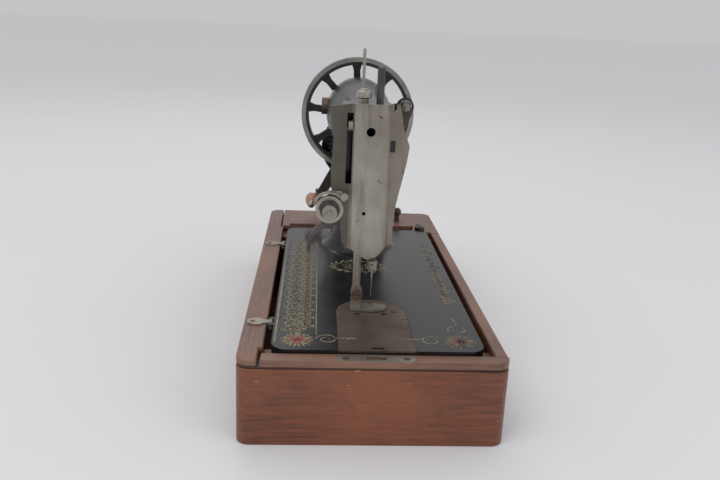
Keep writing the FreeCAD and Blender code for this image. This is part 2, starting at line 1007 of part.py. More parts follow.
def make_under_works():
    shaft = rod("hook_shaft", "X", (-128, hook_y(), hook_z()), 5, 232)
    keep("hook_shaft", shaft)
    feed = rod("feed_shaft", "X", (-122, feed_shaft_y(), feed_shaft_z()), 4, 222)
    arm_block = box(
        "feed_fork",
        (-148, feed_shaft_y() - 30, feed_shaft_z() - 2),
        (-142, feed_shaft_y() + 4, feed_shaft_z() + 3),
    )
    link = box(
        "feed_link",
        (-148, feed_shaft_y() - 4, feed_shaft_z() - 4),
        (-121, feed_shaft_y() + 4, feed_shaft_z() + 4),
    )
    keep("feed_shaft", fuse("feed_shaft_whole", [feed, arm_block, link]))
    ring = rod("race_outer", "X", (hook_x() - 9, hook_y(), hook_z()), 21, 14)
    bore = rod("race_bore", "X", (hook_x() - 10, hook_y(), hook_z()), 17, 12)
    hub_bore = rod("race_hub_bore", "X", (hook_x(), hook_y(), hook_z()), 5.3, 12)
    top_cut = box(
        "race_top_cut",
        (hook_x() - 12, hook_y() - 30, hook_z() + 13.2),
        (hook_x() + 12, hook_y() + 30, hook_z() + 30),
    )
    stay = fuse(
        "race_stay",
        [
            box(
                "race_stay_arm",
                (hook_x() + 2, hook_y() - 31, hook_z() - 6),
                (hook_x() + 5, hook_y() - 20, hook_z() + 6),
            ),
            box(
                "race_stay_post",
                (hook_x() + 2, hook_y() - 31, hook_z() - 6),
                (hook_x() + 5, hook_y() - 25, d.bed_top - d.bed_plate_thick),
            ),
        ],
    )
    keep("shuttle_race", cut("shuttle_race", fuse("race_whole", [ring, stay]), [bore, hub_bore, top_cut]))
    body = rod("hook_body", "X", (hook_x() - 7, hook_y(), hook_z()), 16.7, 6)
    case_well = rod("hook_case_well", "X", (hook_x() - 8, hook_y(), hook_z()), 11.4, 6)
    gap = box(
        "hook_gap",
        (hook_x() - 8, hook_y() + 2, hook_z() + 6),
        (hook_x(), hook_y() + 20, hook_z() + 20),
    )
    flat = box(
        "hook_flat",
        (hook_x() - 12, hook_y() - 30, hook_z() + 12.9),
        (hook_x() + 12, hook_y() + 30, hook_z() + 30),
    )
    drive = rod("hook_drive", "X", (hook_x() - 1.5, hook_y(), hook_z()), 5, d.bars_x - hook_x() + 4.5)
    keep("shuttle_hook", cut("shuttle_hook", fuse("hook_whole", [body, drive]), [case_well, gap, flat]))
    case = rod("case_outer", "X", (hook_x() - 12, hook_y(), hook_z()), 11, 9.5)
    hollow = rod("case_hollow", "X", (hook_x() - 13, hook_y(), hook_z()), 2, 12)
    keep("bobbin_case", cut("bobbin_case", case, [hollow]))


def hook_x():
    return d.bars_x - 18


# The arm, pillar and head casting

def ring_section(name, plane, centre, half_u, half_v):
    """An ellipse square to X or to Z, half_u along Y or X and half_v along Z or Y."""
    piece = document.addObject("Part::Ellipse", name)
    wide = float(half_u) >= float(half_v)
    bind(piece, "MajorRadius", half_u if wide else half_v)
    bind(piece, "MinorRadius", half_v if wide else half_u)
    turn = FreeCAD.Rotation(FreeCAD.Vector(0, 0, 1), 0 if wide else 90)
    if plane == "YZ":
        upright = FreeCAD.Rotation(
            FreeCAD.Vector(0, 1, 0), FreeCAD.Vector(0, 0, 1), FreeCAD.Vector(1, 0, 0), "ZXY"
        )
        turn = upright.multiply(turn)
    place(piece, centre, turn)
    return piece


def loft(name, sections):
    piece = document.addObject("Part::Loft", name)
    piece.Sections = sections
    piece.Solid = True
    piece.Ruled = False
    return piece


def make_arm():
    """One casting: the needle head, the horn-shaped arm, the pillar and the wheel boss."""
    horn_rows = [
        (head_back - 4, 26, 25),
        (head_back + 50, 25, 25),
        (d.pillar_x - 44, 30, 33),
        (d.pillar_x, 37, 41),
        (d.pillar_x + 30, 37, 38),
    ]
    rises = [0, 0, 3, 6, 6]
    sections = []
    for number, (x, half_y, half_z) in enumerate(horn_rows):
        centre_z = d.head_top + rises[number] - half_z
        sections.append(
            ring_section(
                "horn_%d" % number, "YZ", (x, d.shaft_y + 2, centre_z), as_size(half_y), as_size(half_z)
            )
        )
    horn = loft("horn", sections)
    pillar_rows = [
        (d.bed_top, 46, 44),
        (d.bed_top + 7, 38, 37),
        (d.bed_top + 40, 32, 32),
        (d.bed_top + 110, 34, 33),
        (d.bed_top + 160, 36, 33),
    ]
    sections = []
    for number, (z, half_x, half_y) in enumerate(pillar_rows):
        sections.append(
            ring_section(
                "pillar_%d" % number,
                "XY",
                (d.pillar_x, d.shaft_y - 3, z),
                as_size(half_x),
                as_size(half_y),
            )
        )
    pillar = loft("pillar", sections)
    boss = cone(
        "wheel_boss",
        "X",
        (d.pillar_x + 22, d.shaft_y, d.shaft_z),
        34,
        26,
        d.arm_end_x - d.pillar_x - 22,
    )
    head = panel(
        "head_block",
        "YZ",
        [
            (-15, d.head_bottom),
            (24, d.head_bottom),
            (34, d.head_bottom + 34),
            (35, d.head_top - 14),
            (28, d.head_top),
            (-14, d.head_top),
            (-25, d.head_top - 20),
            (-26, d.head_top - 36),
            (-16, d.head_bottom + 22),
        ],
        d.head_front_x,
        d.head_depth,
    )
    whole = fuse("arm_whole", [horn, pillar, boss, head])
    shaft_bore = rod(
        "arm_shaft_bore",
        "X",
        (head_back - 2, d.shaft_y, d.shaft_z),
        d.shaft_radius + d.running_gap,
        260,
    )
    cavity = box(
        "head_cavity",
        (d.head_front_x - 1, -11, d.head_bottom + 6),
        (head_back - d.head_wall, 19, d.head_top - 8),
    )
    take_up_well = box(
        "take_up_well",
        (d.head_front_x - 1, 14, d.head_top - 75),
        (head_back - d.head_wall, 27, d.head_top - 5),
    )
    needle_bore = rod(
        "arm_needle_bore",
        "Z",
        (d.bars_x, d.needle_bar_y, d.head_bottom - 5),
        d.needle_bar_radius + d.running_gap,
        140,
    )
    presser_bore = rod(
        "arm_presser_bore",
        "Z",
        (d.bars_x, d.presser_bar_y, d.head_bottom - 5),
        d.presser_bar_radius + d.running_gap,
        60,
    )
    nut_bore = rod("arm_nut_bore", "Z", (d.bars_x, d.presser_bar_y, d.head_top - 12), nut_neck(), 20)
    spool_bore = rod(
        "arm_spool_bore",
        "Z",
        (d.spool_pin_x, d.spool_pin_y, d.head_top - 10),
        d.spool_pin_radius + 0.5,
        20,
    )
    pillar_hollow = rod("pillar_hollow", "Z", (d.pillar_x, d.shaft_y - 3, d.bed_top - 1), 20, 118)
    lifter_slot = box(
        "lifter_slot",
        (lifter_x() - 0.6, 10, lifter_z() - 12),
        (lifter_x() + lifter_thick() + 0.6, 45, lifter_z() + 30),
    )
    lifter_pin = rod(
        "lifter_pin",
        "X",
        (lifter_x() - 2, 24, lifter_z()),
        2,
        lifter_thick() + 10,
    )
    bores = [
        shaft_bore,
        cavity,
        take_up_well,
        needle_bore,
        presser_bore,
        nut_bore,
        spool_bore,
        pillar_hollow,
        lifter_slot,
    ]
    casting = cut("arm_bored", whole, bores)
    keep("arm_casting", fuse("arm_casting", [casting, lifter_pin]))


def nut_neck():
    return as_size(4.3)


def lifter_x():
    return d.head_front_x + 4


def lifter_thick():
    return as_size(3.5)


def lifter_z():
    return d.tension_z - 13


def winder_pivot_y():
    return d.winder_y + 6


def winder_pivot_z():
    return d.winder_z - 26


# The faceplate and what it carries

def make_faceplate():
    """A thin plate with a raised centre, a slot for the take-up and a tab on each side."""
    start = d.head_front_x - d.faceplate_thick
    flange_points = [
        (-12.7, 144.4),
        (3, 138),
        (19, 142.2),
        (26.9, 147.6),
        (29, 165),
        (34, 192),
        (38, 198),
        (38.6, 214),
        (37, 240),
        (40.3, 262),
        (40.3, 269.8),
        (22, 272.5),
        (-11, 272.7),
        (-19.8, 272.7),
        (-22, 262),
        (-24, 252),
        (-29.8, 237),
        (-28, 222),
        (-20.5, 185),
        (-18.8, 166),
        (-18.1, 148),
    ]
    flange = panel("faceplate_flange", "YZ", flange_points, start, d.faceplate_thick)
    hump_points = [
        (-12, 145),
        (-6, 137),
        (3.1, 133),
        (12, 136.5),
        (18.5, 143),
        (19.8, 190),
        (19.8, 272.7),
        (-10.7, 272.7),
        (-12, 200),
    ]
    hump = panel(
        "faceplate_hump",
        "YZ",
        hump_points,
        start - d.faceplate_hump,
        d.faceplate_hump + d.faceplate_thick,
    )
    slot = box(
        "take_up_slot",
        (start - 10, 20.4, 202.3),
        (d.head_front_x + 1, 25.7, 264.7),
    )
    key = rod("key_hole", "X", (start - 10, 5, 248.9), 3.9, 20)
    oval = box("oval_hole", (start - 10, -17, 231.5), (d.head_front_x + 1, -12.6, 241.5))
    eyelet = rod("eyelet_hole", "X", (start - 10, 8.3, 176.2), 1.6, 20)
    notch = box("edge_notch", (start - 10, -16.6, 266.5), (d.head_front_x + 1, -14.6, 275))
    relief = box(
        "faceplate_relief",
        (start - d.faceplate_hump + 2, -9, 148),
        (d.head_front_x + 1, 17, 264),
    )
    whole = fuse("faceplate_whole", [flange, hump])
    keep("faceplate", cut("faceplate", whole, [slot, key, oval, eyelet, notch, relief]))


def make_take_up():
    """The lever's tip stands out of the slot; inside it is carried by a block."""
    z = 253
    tip_x = d.head_front_x - d.faceplate_thick - 7
    blade = box("take_up_blade", (tip_x + 3, 21.2, z - 3), (d.head_front_x + 22, 24.8, z + 4))
    eye = rod("take_up_eye", "Y", (tip_x + 2, 21.2, z + 1), 4.4, 3.6)
    hole = rod("take_up_hole", "Y", (tip_x + 1, 20, z + 1), 1.5, 6)
    carrier = box(
        "take_up_carrier",
        (d.head_front_x + 14, 15.5, z - 6),
        (d.head_front_x + 22, 24.8, z + 4),
    )
    keep("take_up_lever", cut("take_up_lever", fuse("take_up_whole", [blade, eye, carrier]), [hole]))


def make_bars():
    bottom = d.bed_top + 37.5
    bar = rod(
        "needle_bar_rod",
        "Z",
        (d.bars_x, d.needle_bar_y, bottom + 2),
        d.needle_bar_radius,
        d.needle_bar_top - bottom - 2,
    )
    socket = rod(
        "needle_socket",
        "Z",
        (d.bars_x, d.needle_bar_y, bottom - 1),
        0.8,
        12,
    )
    keep("needle_bar", cut("needle_bar", bar, [socket]))
    clamp = rod("clamp_body", "Z", (d.bars_x, d.needle_bar_y, bottom), d.needle_bar_radius + 1.1, 9)
    clamp_bore = rod("clamp_bore", "Z", (d.bars_x, d.needle_bar_y, bottom + 2), d.needle_bar_radius, 10)
    needle_path = rod("clamp_needle_bore", "Z", (d.bars_x, d.needle_bar_y, bottom - 1), 0.8, 5)
    screw = rod(
        "clamp_screw",
        "X",
        (d.bars_x - d.needle_bar_radius - 6, d.needle_bar_y, bottom + 4.5),
        2.2,
        5.1,
    )
    keep("needle_clamp", cut("needle_clamp", fuse("clamp_whole", [clamp, screw]), [clamp_bore, needle_path]))
    shank = rod("needle_shank", "Z", (d.bars_x, d.needle_bar_y, bottom - 8), 0.8, 17)
    blade = cone(
        "needle_blade",
        "Z",
        (d.bars_x, d.needle_bar_y, d.bed_top + 10.9),
        0.15,
        0.6,
        bottom - d.bed_top - 18.9,
    )
    keep("needle", fuse("needle", [shank, blade]))
    presser_bottom = d.bed_top + 13
    presser = rod(
        "presser_bar_rod",
        "Z",
        (d.bars_x, d.presser_bar_y, presser_bottom),
        d.presser_bar_radius,
        d.head_top - 16.5 - presser_bottom,
    )
    guide = box(
        "presser_guide",
        (d.bars_x - 6, d.presser_bar_y - 6, lifter_z() + 9),
        (d.bars_x + 6, d.presser_bar_y + 6, lifter_z() + 17),
    )
    keep("presser_bar", fuse("presser_bar", [presser, guide]))


def make_presser_foot():
    """A hinged-toe foot clamped to the bar by a thumb screw."""
    sole_z = d.bed_top + 0.4
    bar_bottom = d.bed_top + 13
    y = d.presser_bar_y
    collar = box(
        "foot_collar",
        (d.bars_x - 8, y - 4.6, sole_z + 3),
        (d.bars_x - d.presser_bar_radius - 0.01, y + 4.6, bar_bottom + 9),
    )
    shank = box(
        "foot_shank",
        (d.bars_x - 8, y - 4.6, sole_z + 2),
        (d.bars_x + 3, y + 4.6, bar_bottom - 0.01),
    )
    sole = panel(
        "foot_sole",
        "XY",
        [
            (d.bars_x - 15, y - 14),
            (d.bars_x - 12, y - 27),
            (d.bars_x - 3, y - 29),
            (d.bars_x + 1, y - 22),
            (d.bars_x + 3, y + 5),
            (d.bars_x - 12, y + 5),
        ],
        sole_z,
        2.4,
    )
    gap = rod("foot_needle_gap", "Z", (d.bars_x, d.needle_bar_y, sole_z - 1), 2.2, 5)
    keep("presser_foot", cut("presser_foot", fuse("foot_whole", [collar, shank, sole]), [gap]))
    screw = rod("foot_screw_head", "X", (d.bars_x - 15, y, bar_bottom + 4), 5.6, 7)
    slot = box(
        "foot_screw_slot",
        (d.bars_x - 16, y - 7, bar_bottom + 3.4),
        (d.bars_x - 14, y + 7, bar_bottom + 4.6),
    )
    keep("foot_screw", cut("foot_screw", screw, [slot]))


def make_lifter():
    """A curved finger that lies in the plane square to X, hinged inside the head."""
    pivot_y = 24
    pivot_z = float(lifter_z())
    start = float(lifter_x())
    thick = float(lifter_thick())

    def point(y, z):
        return FreeCAD.Vector(start, y, pivot_z + z)

    upper = Part.Arc(point(24, 6), point(46, -2), point(58.5, -30)).toShape()
    tip = Part.LineSegment(point(58.5, -30), point(56, -30.5)).toShape()
    lower = Part.Arc(point(56, -30.5), point(42, -8), point(24, -6)).toShape()
    back = Part.Arc(point(24, -6), point(18, 0), point(24, 6)).toShape()
    face = Part.Face(Part.Wire([upper, tip, lower, back]))
    blade = face.extrude(FreeCAD.Vector(thick, 0, 0))
    hole = Part.makeCylinder(
        2.05, thick + 2, FreeCAD.Vector(start - 1, pivot_y, pivot_z), FreeCAD.Vector(1, 0, 0)
    )
    keep("presser_lifter", feature("presser_lifter", blade.cut(hole)))


def make_tension():
    """Stud, two discs, conical spring, thumb nut and the curved guard above them."""
    face = d.head_front_x - d.faceplate_thick
    y = d.tension_y
    z = d.tension_z
    arm = box("tension_arm", (face - 3, 28, z - 8), (face - 0.02, y + 2, z + 16))
    disc_seat = rod("tension_seat", "X", (face - 3, y, z), 9, 2.9)
    stud = rod("tension_stud_rod", "X", (face - 22, y, z), 2.4, 20)
    guard_outer = rod("guard_outer", "X", (face - 6, y, z), d.tension_radius + 3, 4)
    guard_inner = rod("guard_inner", "X", (face - 7, y, z), d.tension_radius + 1.2, 6)
    guard_cut = box("guard_cut", (face - 8, y - 30, z - 30), (face + 1, y + 30, z + 7))
    guard = cut("tension_guard", guard_outer, [guard_inner, guard_cut])
    lug = rod("guard_lug", "X", (face - 8, y - 13, z + 12), 3.2, 8)
    bridge = box("guard_bridge", (face - 3.05, y - 13, z + 8), (face - 0.02, y - 8, z + 15))
    keep("tension_bracket", fuse("tension_bracket", [arm, disc_seat, stud, guard, lug, bridge]))
    discs = []
    for name, start, flip in (("inner", -5.4, True), ("outer", -8.0, False)):
        dish = cone(
            "disc_" + name,
            "X",
            (face + start, y, z),
            d.tension_radius if not flip else d.tension_radius - 2,
            d.tension_radius - 2 if not flip else d.tension_radius,
            2.3,
        )
        bore = rod("disc_bore_" + name, "X", (face + start - 1, y, z), 2.5, 5)
        discs.append(cut("tension_disc_" + name, dish, [bore]))
    keep("tension_discs", group("tension_discs", discs))
    nut = rod("tension_nut_body", "X", (face - 21, y, z), 6.6, 5)
    nut_bore = rod("tension_nut_bore", "X", (face - 22, y, z), 2.4 + d.running_gap, 8)
    keep("tension_nut", cut("tension_nut", nut, [nut_bore]))
    keep("tension_spring", feature("tension_spring", conical_spring()))


def conical_spring():
    """One unbroken helix whose radius narrows towards the nut, on quarter-turn arcs."""
    face = float(d.head_front_x - d.faceplate_thick)
    y = float(d.tension_y)
    z = float(d.tension_z)
    wire = float(d.spring_wire)
    turns = int(float(d.spring_turns))
    start_x = face - 8.4 - wire / 2
    end_x = face - 15.6 + wire / 2
    start_radius = float(d.tension_radius) - 3.4
    end_radius = 5.0
    steps = turns * 8

    def place_on(step):
        share = step / steps
        angle = 2 * math.pi * turns * share
        radius = start_radius + (end_radius - start_radius) * share
        x = start_x + (end_x - start_x) * share
        return FreeCAD.Vector(x, y + radius * math.cos(angle), z + radius * math.sin(angle))

    arcs = []
    for step in range(0, steps, 2):
        arc = Part.Arc(place_on(step), place_on(step + 1), place_on(step + 2))
        arcs.append(arc.toShape())
    path = Part.Wire(arcs)
    first = place_on(0)
    tangent = arcs[0].tangentAt(arcs[0].FirstParameter)
    profile = Part.Wire([Part.Circle(first, tangent, wire / 2).toShape()])
    tube = path.makePipeShell([profile], True, False)
    points = [place_on(step / 4) for step in range(steps * 4)]
    least = min(
        points[i].distanceToPoint(points[j])
        for i in range(len(points))
        for j in range(i + 20, len(points))
    )
    print("tension spring least gap to itself", round(least - wire, 3), "mm")
    return tube


def make_head_top():
    nut_start = d.head_top + 0.3
    neck = rod("nut_neck", "Z", (d.bars_x, d.presser_bar_y, d.head_top - 9), nut_neck() - d.running_gap, 15)
    cap = rod("nut_cap", "Z", (d.bars_x, d.presser_bar_y, nut_start + 5), 7, 6)
    crown = cone("nut_crown", "Z", (d.bars_x, d.presser_bar_y, nut_start + 11), 5, 3, 2)
    keep("pressure_nut", fuse("pressure_nut", [neck, cap, crown]))
    pin_root = rod(
        "spool_pin_root",
        "Z",
        (d.spool_pin_x, d.spool_pin_y, d.head_top - 10),
        d.spool_pin_radius + 0.5,
        12,
    )
    pin = rod(
        "spool_pin_shaft",
        "Z",
        (d.spool_pin_x, d.spool_pin_y, d.head_top + 2),
        d.spool_pin_radius,
        d.spool_pin_top - d.head_top - 2,
    )
    keep("spool_pin", fuse("spool_pin", [pin_root, pin]))
    screw = rod("rear_cap_screw_rod", "Y", (d.pillar_x + 20, 30, 243), 9.8, 16.5)
    return cut("rear_cap_screw", screw, [nodes["arm_casting"]])


# Handwheel, shaft and stop-motion knob

def make_handwheel():
    near_x = d.wheel_x - d.rim_width / 2
    outer = rod("rim_outer", "X", (near_x, d.shaft_y, d.shaft_z), d.wheel_radius, d.rim_width)
    inner = rod(
        "rim_inner",
        "X",
        (near_x - 1, d.shaft_y, d.shaft_z),
        d.wheel_radius - d.rim_depth,
        d.rim_width + 2,
    )
    rim = cut("wheel_rim", outer, [inner])
    hub = rod("wheel_hub", "X", (d.arm_end_x + 0.4, d.shaft_y, d.shaft_z), d.hub_radius, 24)
    spokes = []
    count = int(float(d.spoke_count))
    for number in range(count):
        angle = float(d.spoke_phase) + 360.0 / count * number
        spokes.append(spoke(number, angle))
    bore = rod("wheel_bore", "X", (d.arm_end_x - 5, d.shaft_y, d.shaft_z), d.shaft_radius, 60)
    keep("handwheel", cut("handwheel", fuse("wheel_whole", [rim, hub] + spokes), [bore]))
    shaft = rod(
        "main_shaft",
        "X",
        (head_back - 2, d.shaft_y, d.shaft_z),
        d.shaft_radius,
        d.arm_end_x + 28 - head_back,
    )
    keep("main_shaft", shaft)
    knob_start = d.arm_end_x + 24.7
    knob = rod("clutch_body", "X", (knob_start, d.shaft_y, d.shaft_z), 13.5, 6)
    knob_bore = rod(
        "clutch_bore",
        "X",
        (knob_start - 1, d.shaft_y, d.shaft_z),
        d.shaft_radius + d.running_gap,
        10,
    )
    keep("clutch_knob", cut("clutch_knob", knob, [knob_bore]))


def spoke(number, angle):
    """A tapered bar from the hub to the rim, turned about the wheel's axis."""
    width = float(d.spoke_width)
    inner = float(d.hub_radius) - 3
    outer = float(d.wheel_radius - d.rim_depth) + 2
    thick = 7.0
    start_x = float(d.wheel_x) - thick / 2
    points = [
        (-width * 0.62, inner),
        (-width * 0.5, outer - 9),
        (-width * 0.8, outer),
        (width * 0.8, outer),
        (width * 0.5, outer - 9),
        (width * 0.62, inner),
    ]
    vectors = [FreeCAD.Vector(start_x, u, v) for u, v in points]
    face = Part.Face(Part.makePolygon(vectors + vectors[:1]))
    bar = face.extrude(FreeCAD.Vector(thick, 0, 0))
    bar.rotate(FreeCAD.Vector(0, 0, 0), FreeCAD.Vector(1, 0, 0), angle)
    bar.translate(FreeCAD.Vector(0, float(d.shaft_y), float(d.shaft_z)))
    return feature("spoke_%d" % number, bar)


# The hand crank

def gear_blank(name, teeth, module, start_x, thick, centre, phase):
    """A spur gear square to X; each tooth is a trapezoid with room for backlash."""
    pitch = module * teeth / 2
    root = pitch - 1.15 * module
    tip = pitch + 0.8 * module
    points = []
    step = 2 * math.pi / teeth
    for tooth in range(teeth):
        middle = phase + step * tooth
        for radius, share in ((root, -0.30), (tip, -0.12), (tip, 0.12), (root, 0.30)):
            angle = middle + step * share
            y = centre[0] + radius * math.cos(angle)
            z = centre[1] + radius * math.sin(angle)
            points.append(FreeCAD.Vector(start_x, y, z))
    face = Part.Face(Part.makePolygon(points + points[:1]))
    return face.extrude(FreeCAD.Vector(thick, 0, 0))


def make_crank():
    module = float(d.gear_module)
    start = float(d.gear_x)
    thick = float(d.gear_thick)
    shaft = (float(d.shaft_y), float(d.shaft_z))
    crank = (float(d.shaft_y), float(crank_z))
    pinion_teeth = int(float(d.pinion_teeth))
    gear_teeth = int(float(d.gear_teeth))
    pinion = gear_blank("pinion", pinion_teeth, module, start, thick, shaft, -math.pi / 2)
    half_tooth = math.pi / gear_teeth
    gear = gear_blank("gear", gear_teeth, module, start, thick, crank, math.pi / 2 + half_tooth)
    bush = feature("pinion_gear", pinion)
    gaps_to_claw = 4.5
    claw = claw_shape(float(d.spoke_phase) + 360.0 / float(d.spoke_count) * gaps_to_claw)
    stub = rod("pinion_stub", "X", (d.gear_x, d.shaft_y, d.shaft_z), 4, d.case_end - d.gear_x)
    sleeve = rod("pinion_sleeve", "X", (d.gear_x - 1.8, d.shaft_y, d.shaft_z), 7, 2)
    keep("drive_pinion", fuse("drive_pinion", [bush, feature("drive_claw", claw), sleeve, stub]))
    axle = rod("gear_axle", "X", (d.gear_x - 4, d.shaft_y, crank_z), 5, d.crank_arm_x - d.gear_x + 4)
    keep("crank_gear", fuse("crank_gear", [feature("gear_body", gear), axle]))


def claw_shape(angle):
    """An arm behind the pinion with a finger that reaches between two spokes."""
    start = float(d.gear_x) - 3.5
    arm = Part.makeBox(3.4, 8, 38, FreeCAD.Vector(start, -4, 0))
    finger_start = float(d.wheel_x) - 2
    finger = Part.makeBox(start + 3.4 - finger_start, 6, 6, FreeCAD.Vector(finger_start, -3, 32))
    whole = arm.fuse(finger)
    whole.rotate(FreeCAD.Vector(0, 0, 0), FreeCAD.Vector(1, 0, 0), angle)
    whole.translate(FreeCAD.Vector(0, float(d.shaft_y), float(d.shaft_z)))
    return whole


def crank_direction():
    angle = math.radians(float(d.crank_angle))
    return FreeCAD.Vector(0, math.cos(angle), math.sin(angle))


def crank_point(radius, x):
    direction = crank_direction()
    return FreeCAD.Vector(x, float(d.shaft_y) + radius * direction.y, float(crank_z) + radius * direction.z)


def crank_bar(root_half, tip_half, length, x, thick):
    """A tapered bar along the crank's direction, from its pivot outwards."""
    points = [(0, -root_half), (length, -tip_half), (length, tip_half), (0, root_half)]
    vectors = [FreeCAD.Vector(x, u, v) for u, v in points]
    bar = Part.Face(Part.makePolygon(vectors + vectors[:1])).extrude(FreeCAD.Vector(thick, 0, 0))
    bar.rotate(FreeCAD.Vector(0, 0, 0), FreeCAD.Vector(1, 0, 0), float(d.crank_angle))
    bar.translate(FreeCAD.Vector(0, float(d.shaft_y), float(crank_z)))
    return bar


def make_crank_arm():
    """The arm ends in an upright pin; the folding lug turns on it and holds the grip's spindle."""
    x = float(d.crank_arm_x)
    thick = float(d.crank_arm_thick)
    along_x = FreeCAD.Vector(1, 0, 0)
    upwards = FreeCAD.Vector(0, 0, 1)
    pin_radius = 2.0
    knuckle_radius = 5.0
    knuckle_half = 6.0
    fold = crank_point(float(d.crank_radius), x + thick / 2)
    boss = Part.makeCylinder(11, thick + 2, crank_point(0, x), along_x)
    bar = crank_bar(10, 5.5, float(d.crank_radius) - 1, x, thick)
    swing_room = Part.makeBox(
        40, 60, 40, FreeCAD.Vector(x - 10, fold.y - 30, fold.z + knuckle_half + 0.3 - 40)
    )
    pin = Part.makeCylinder(
        pin_radius, 2 * knuckle_half + 4, FreeCAD.Vector(fold.x, fold.y, fold.z - knuckle_half - 1), upwards
    )
    pin_head = Part.makeCylinder(
        3.6, 2, FreeCAD.Vector(fold.x, fold.y, fold.z - knuckle_half - 2.3), upwards
    )
    ear = Part.makeCylinder(
        knuckle_radius, 3.5, FreeCAD.Vector(fold.x, fold.y, fold.z + knuckle_half + 0.3), upwards
    )
    arm = boss.fuse(bar).cut(swing_room).fuse([ear, pin, pin_head])
    keep("crank_arm", feature("crank_arm", arm))
    axis = FreeCAD.Vector(0, fold.y + float(d.handle_offset), fold.z)
    handle_end = x - 1
    handle_start = handle_end - float(d.handle_length)
    spindle_start = handle_start - float(d.handle_ball_radius) - 0.3
    knuckle = Part.makeCylinder(
        knuckle_radius, 2 * knuckle_half, FreeCAD.Vector(fold.x, fold.y, fold.z - knuckle_half), upwards
    )
    knuckle_bore = Part.makeCylinder(
        pin_radius + float(d.running_gap), 40, FreeCAD.Vector(fold.x, fold.y, fold.z - 20), upwards
    )
    web = Part.makeBox(
        6, float(d.handle_offset) + 4, 8, FreeCAD.Vector(fold.x - 3, fold.y, fold.z - 4)
    )
    spindle = Part.makeCylinder(
        2.5, fold.x + 3 - spindle_start, FreeCAD.Vector(spindle_start, axis.y, axis.z), along_x
    )
    cap = Part.makeSphere(
        float(d.handle_ball_radius), FreeCAD.Vector(spindle_start, axis.y, axis.z), along_x
    )
    lug = knuckle.fuse([web, spindle, cap]).cut(knuckle_bore)
    keep("handle_lug", feature("handle_lug", lug))
    bore = 2.5 + float(d.running_gap)
    widest = handle_start + float(d.handle_length) * 0.45

    def ring(x_place, radius):
        return FreeCAD.Vector(x_place, axis.y, axis.z + radius)

    outline = [
        Part.LineSegment(ring(handle_start, bore), ring(handle_start, 4.5)).toShape(),
        Part.Arc(
            ring(handle_start, 4.5), ring(widest, float(d.handle_radius)), ring(handle_end, 5.2)
        ).toShape(),
        Part.LineSegment(ring(handle_end, 5.2), ring(handle_end, bore)).toShape(),
        Part.LineSegment(ring(handle_end, bore), ring(handle_start, bore)).toShape(),
    ]
    face = Part.Face(Part.Wire(outline))
    wood = face.revolve(FreeCAD.Vector(0, axis.y, axis.z), along_x, 360)
    keep("crank_handle", feature("crank_handle", wood))


def make_gear_case():
    """A cover outboard of the gears, carried by a bracket that passes under the wheel."""
    inner_x = d.gear_x - 2
    outer_x = d.case_end
    shell = rod("case_drum", "X", (inner_x, d.shaft_y, crank_z), d.case_radius, outer_x - inner_x)
    hollow = rod(
        "case_hollow_drum",
        "X",
        (inner_x - 1, d.shaft_y, crank_z),
        d.case_radius - d.case_wall,
        outer_x - inner_x - d.case_wall + 1,
    )
    nose = rod("case_nose", "X", (outer_x - d.case_wall, d.shaft_y, d.shaft_z), 16, d.case_wall)
    bearing = rod(
        "case_bearing",
        "X",
        (outer_x - d.case_wall, d.shaft_y, crank_z),
        11,
        d.crank_arm_x - 1 - outer_x + d.case_wall,
    )
    top_cut = box(
        "case_top_cut",
        (inner_x - 2, d.shaft_y - 60, crank_z + 14),
        (outer_x - d.case_wall, d.shaft_y + 60, crank_z + 60),
    )
    bracket = box(
        "case_bracket",
        (d.pillar_x + 20, d.shaft_y - 12, crank_z - 41.5),
        (inner_x + 3, d.shaft_y + 12, crank_z - 31.5),
    )
    foot = box(
        "case_foot",
        (d.pillar_x + 20, d.shaft_y - 14, crank_z - 50),
        (d.pillar_x + 36, d.shaft_y + 14, crank_z - 24),
    )
    axle_bore = rod("case_axle_bore", "X", (inner_x, d.shaft_y, crank_z), 5 + d.running_gap, 40)
    drum = cut("case_shell", shell, [hollow, top_cut])
    whole = fuse("case_whole", [drum, nose, bearing, bracket, foot])
    clear = rod(
        "case_gear_clear",
        "X",
        (inner_x - 1, d.shaft_y, crank_z),
        d.case_radius - d.case_wall,
        outer_x - inner_x - d.case_wall + 1,
    )
    nose_bore = rod("case_nose_bore", "X", (inner_x, d.shaft_y, d.shaft_z), 4 + d.running_gap, 40)
    keep("gear_case", cut("gear_case", whole, [axle_bore, nose_bore, clear, nodes["arm_casting"]]))


# The bobbin winder

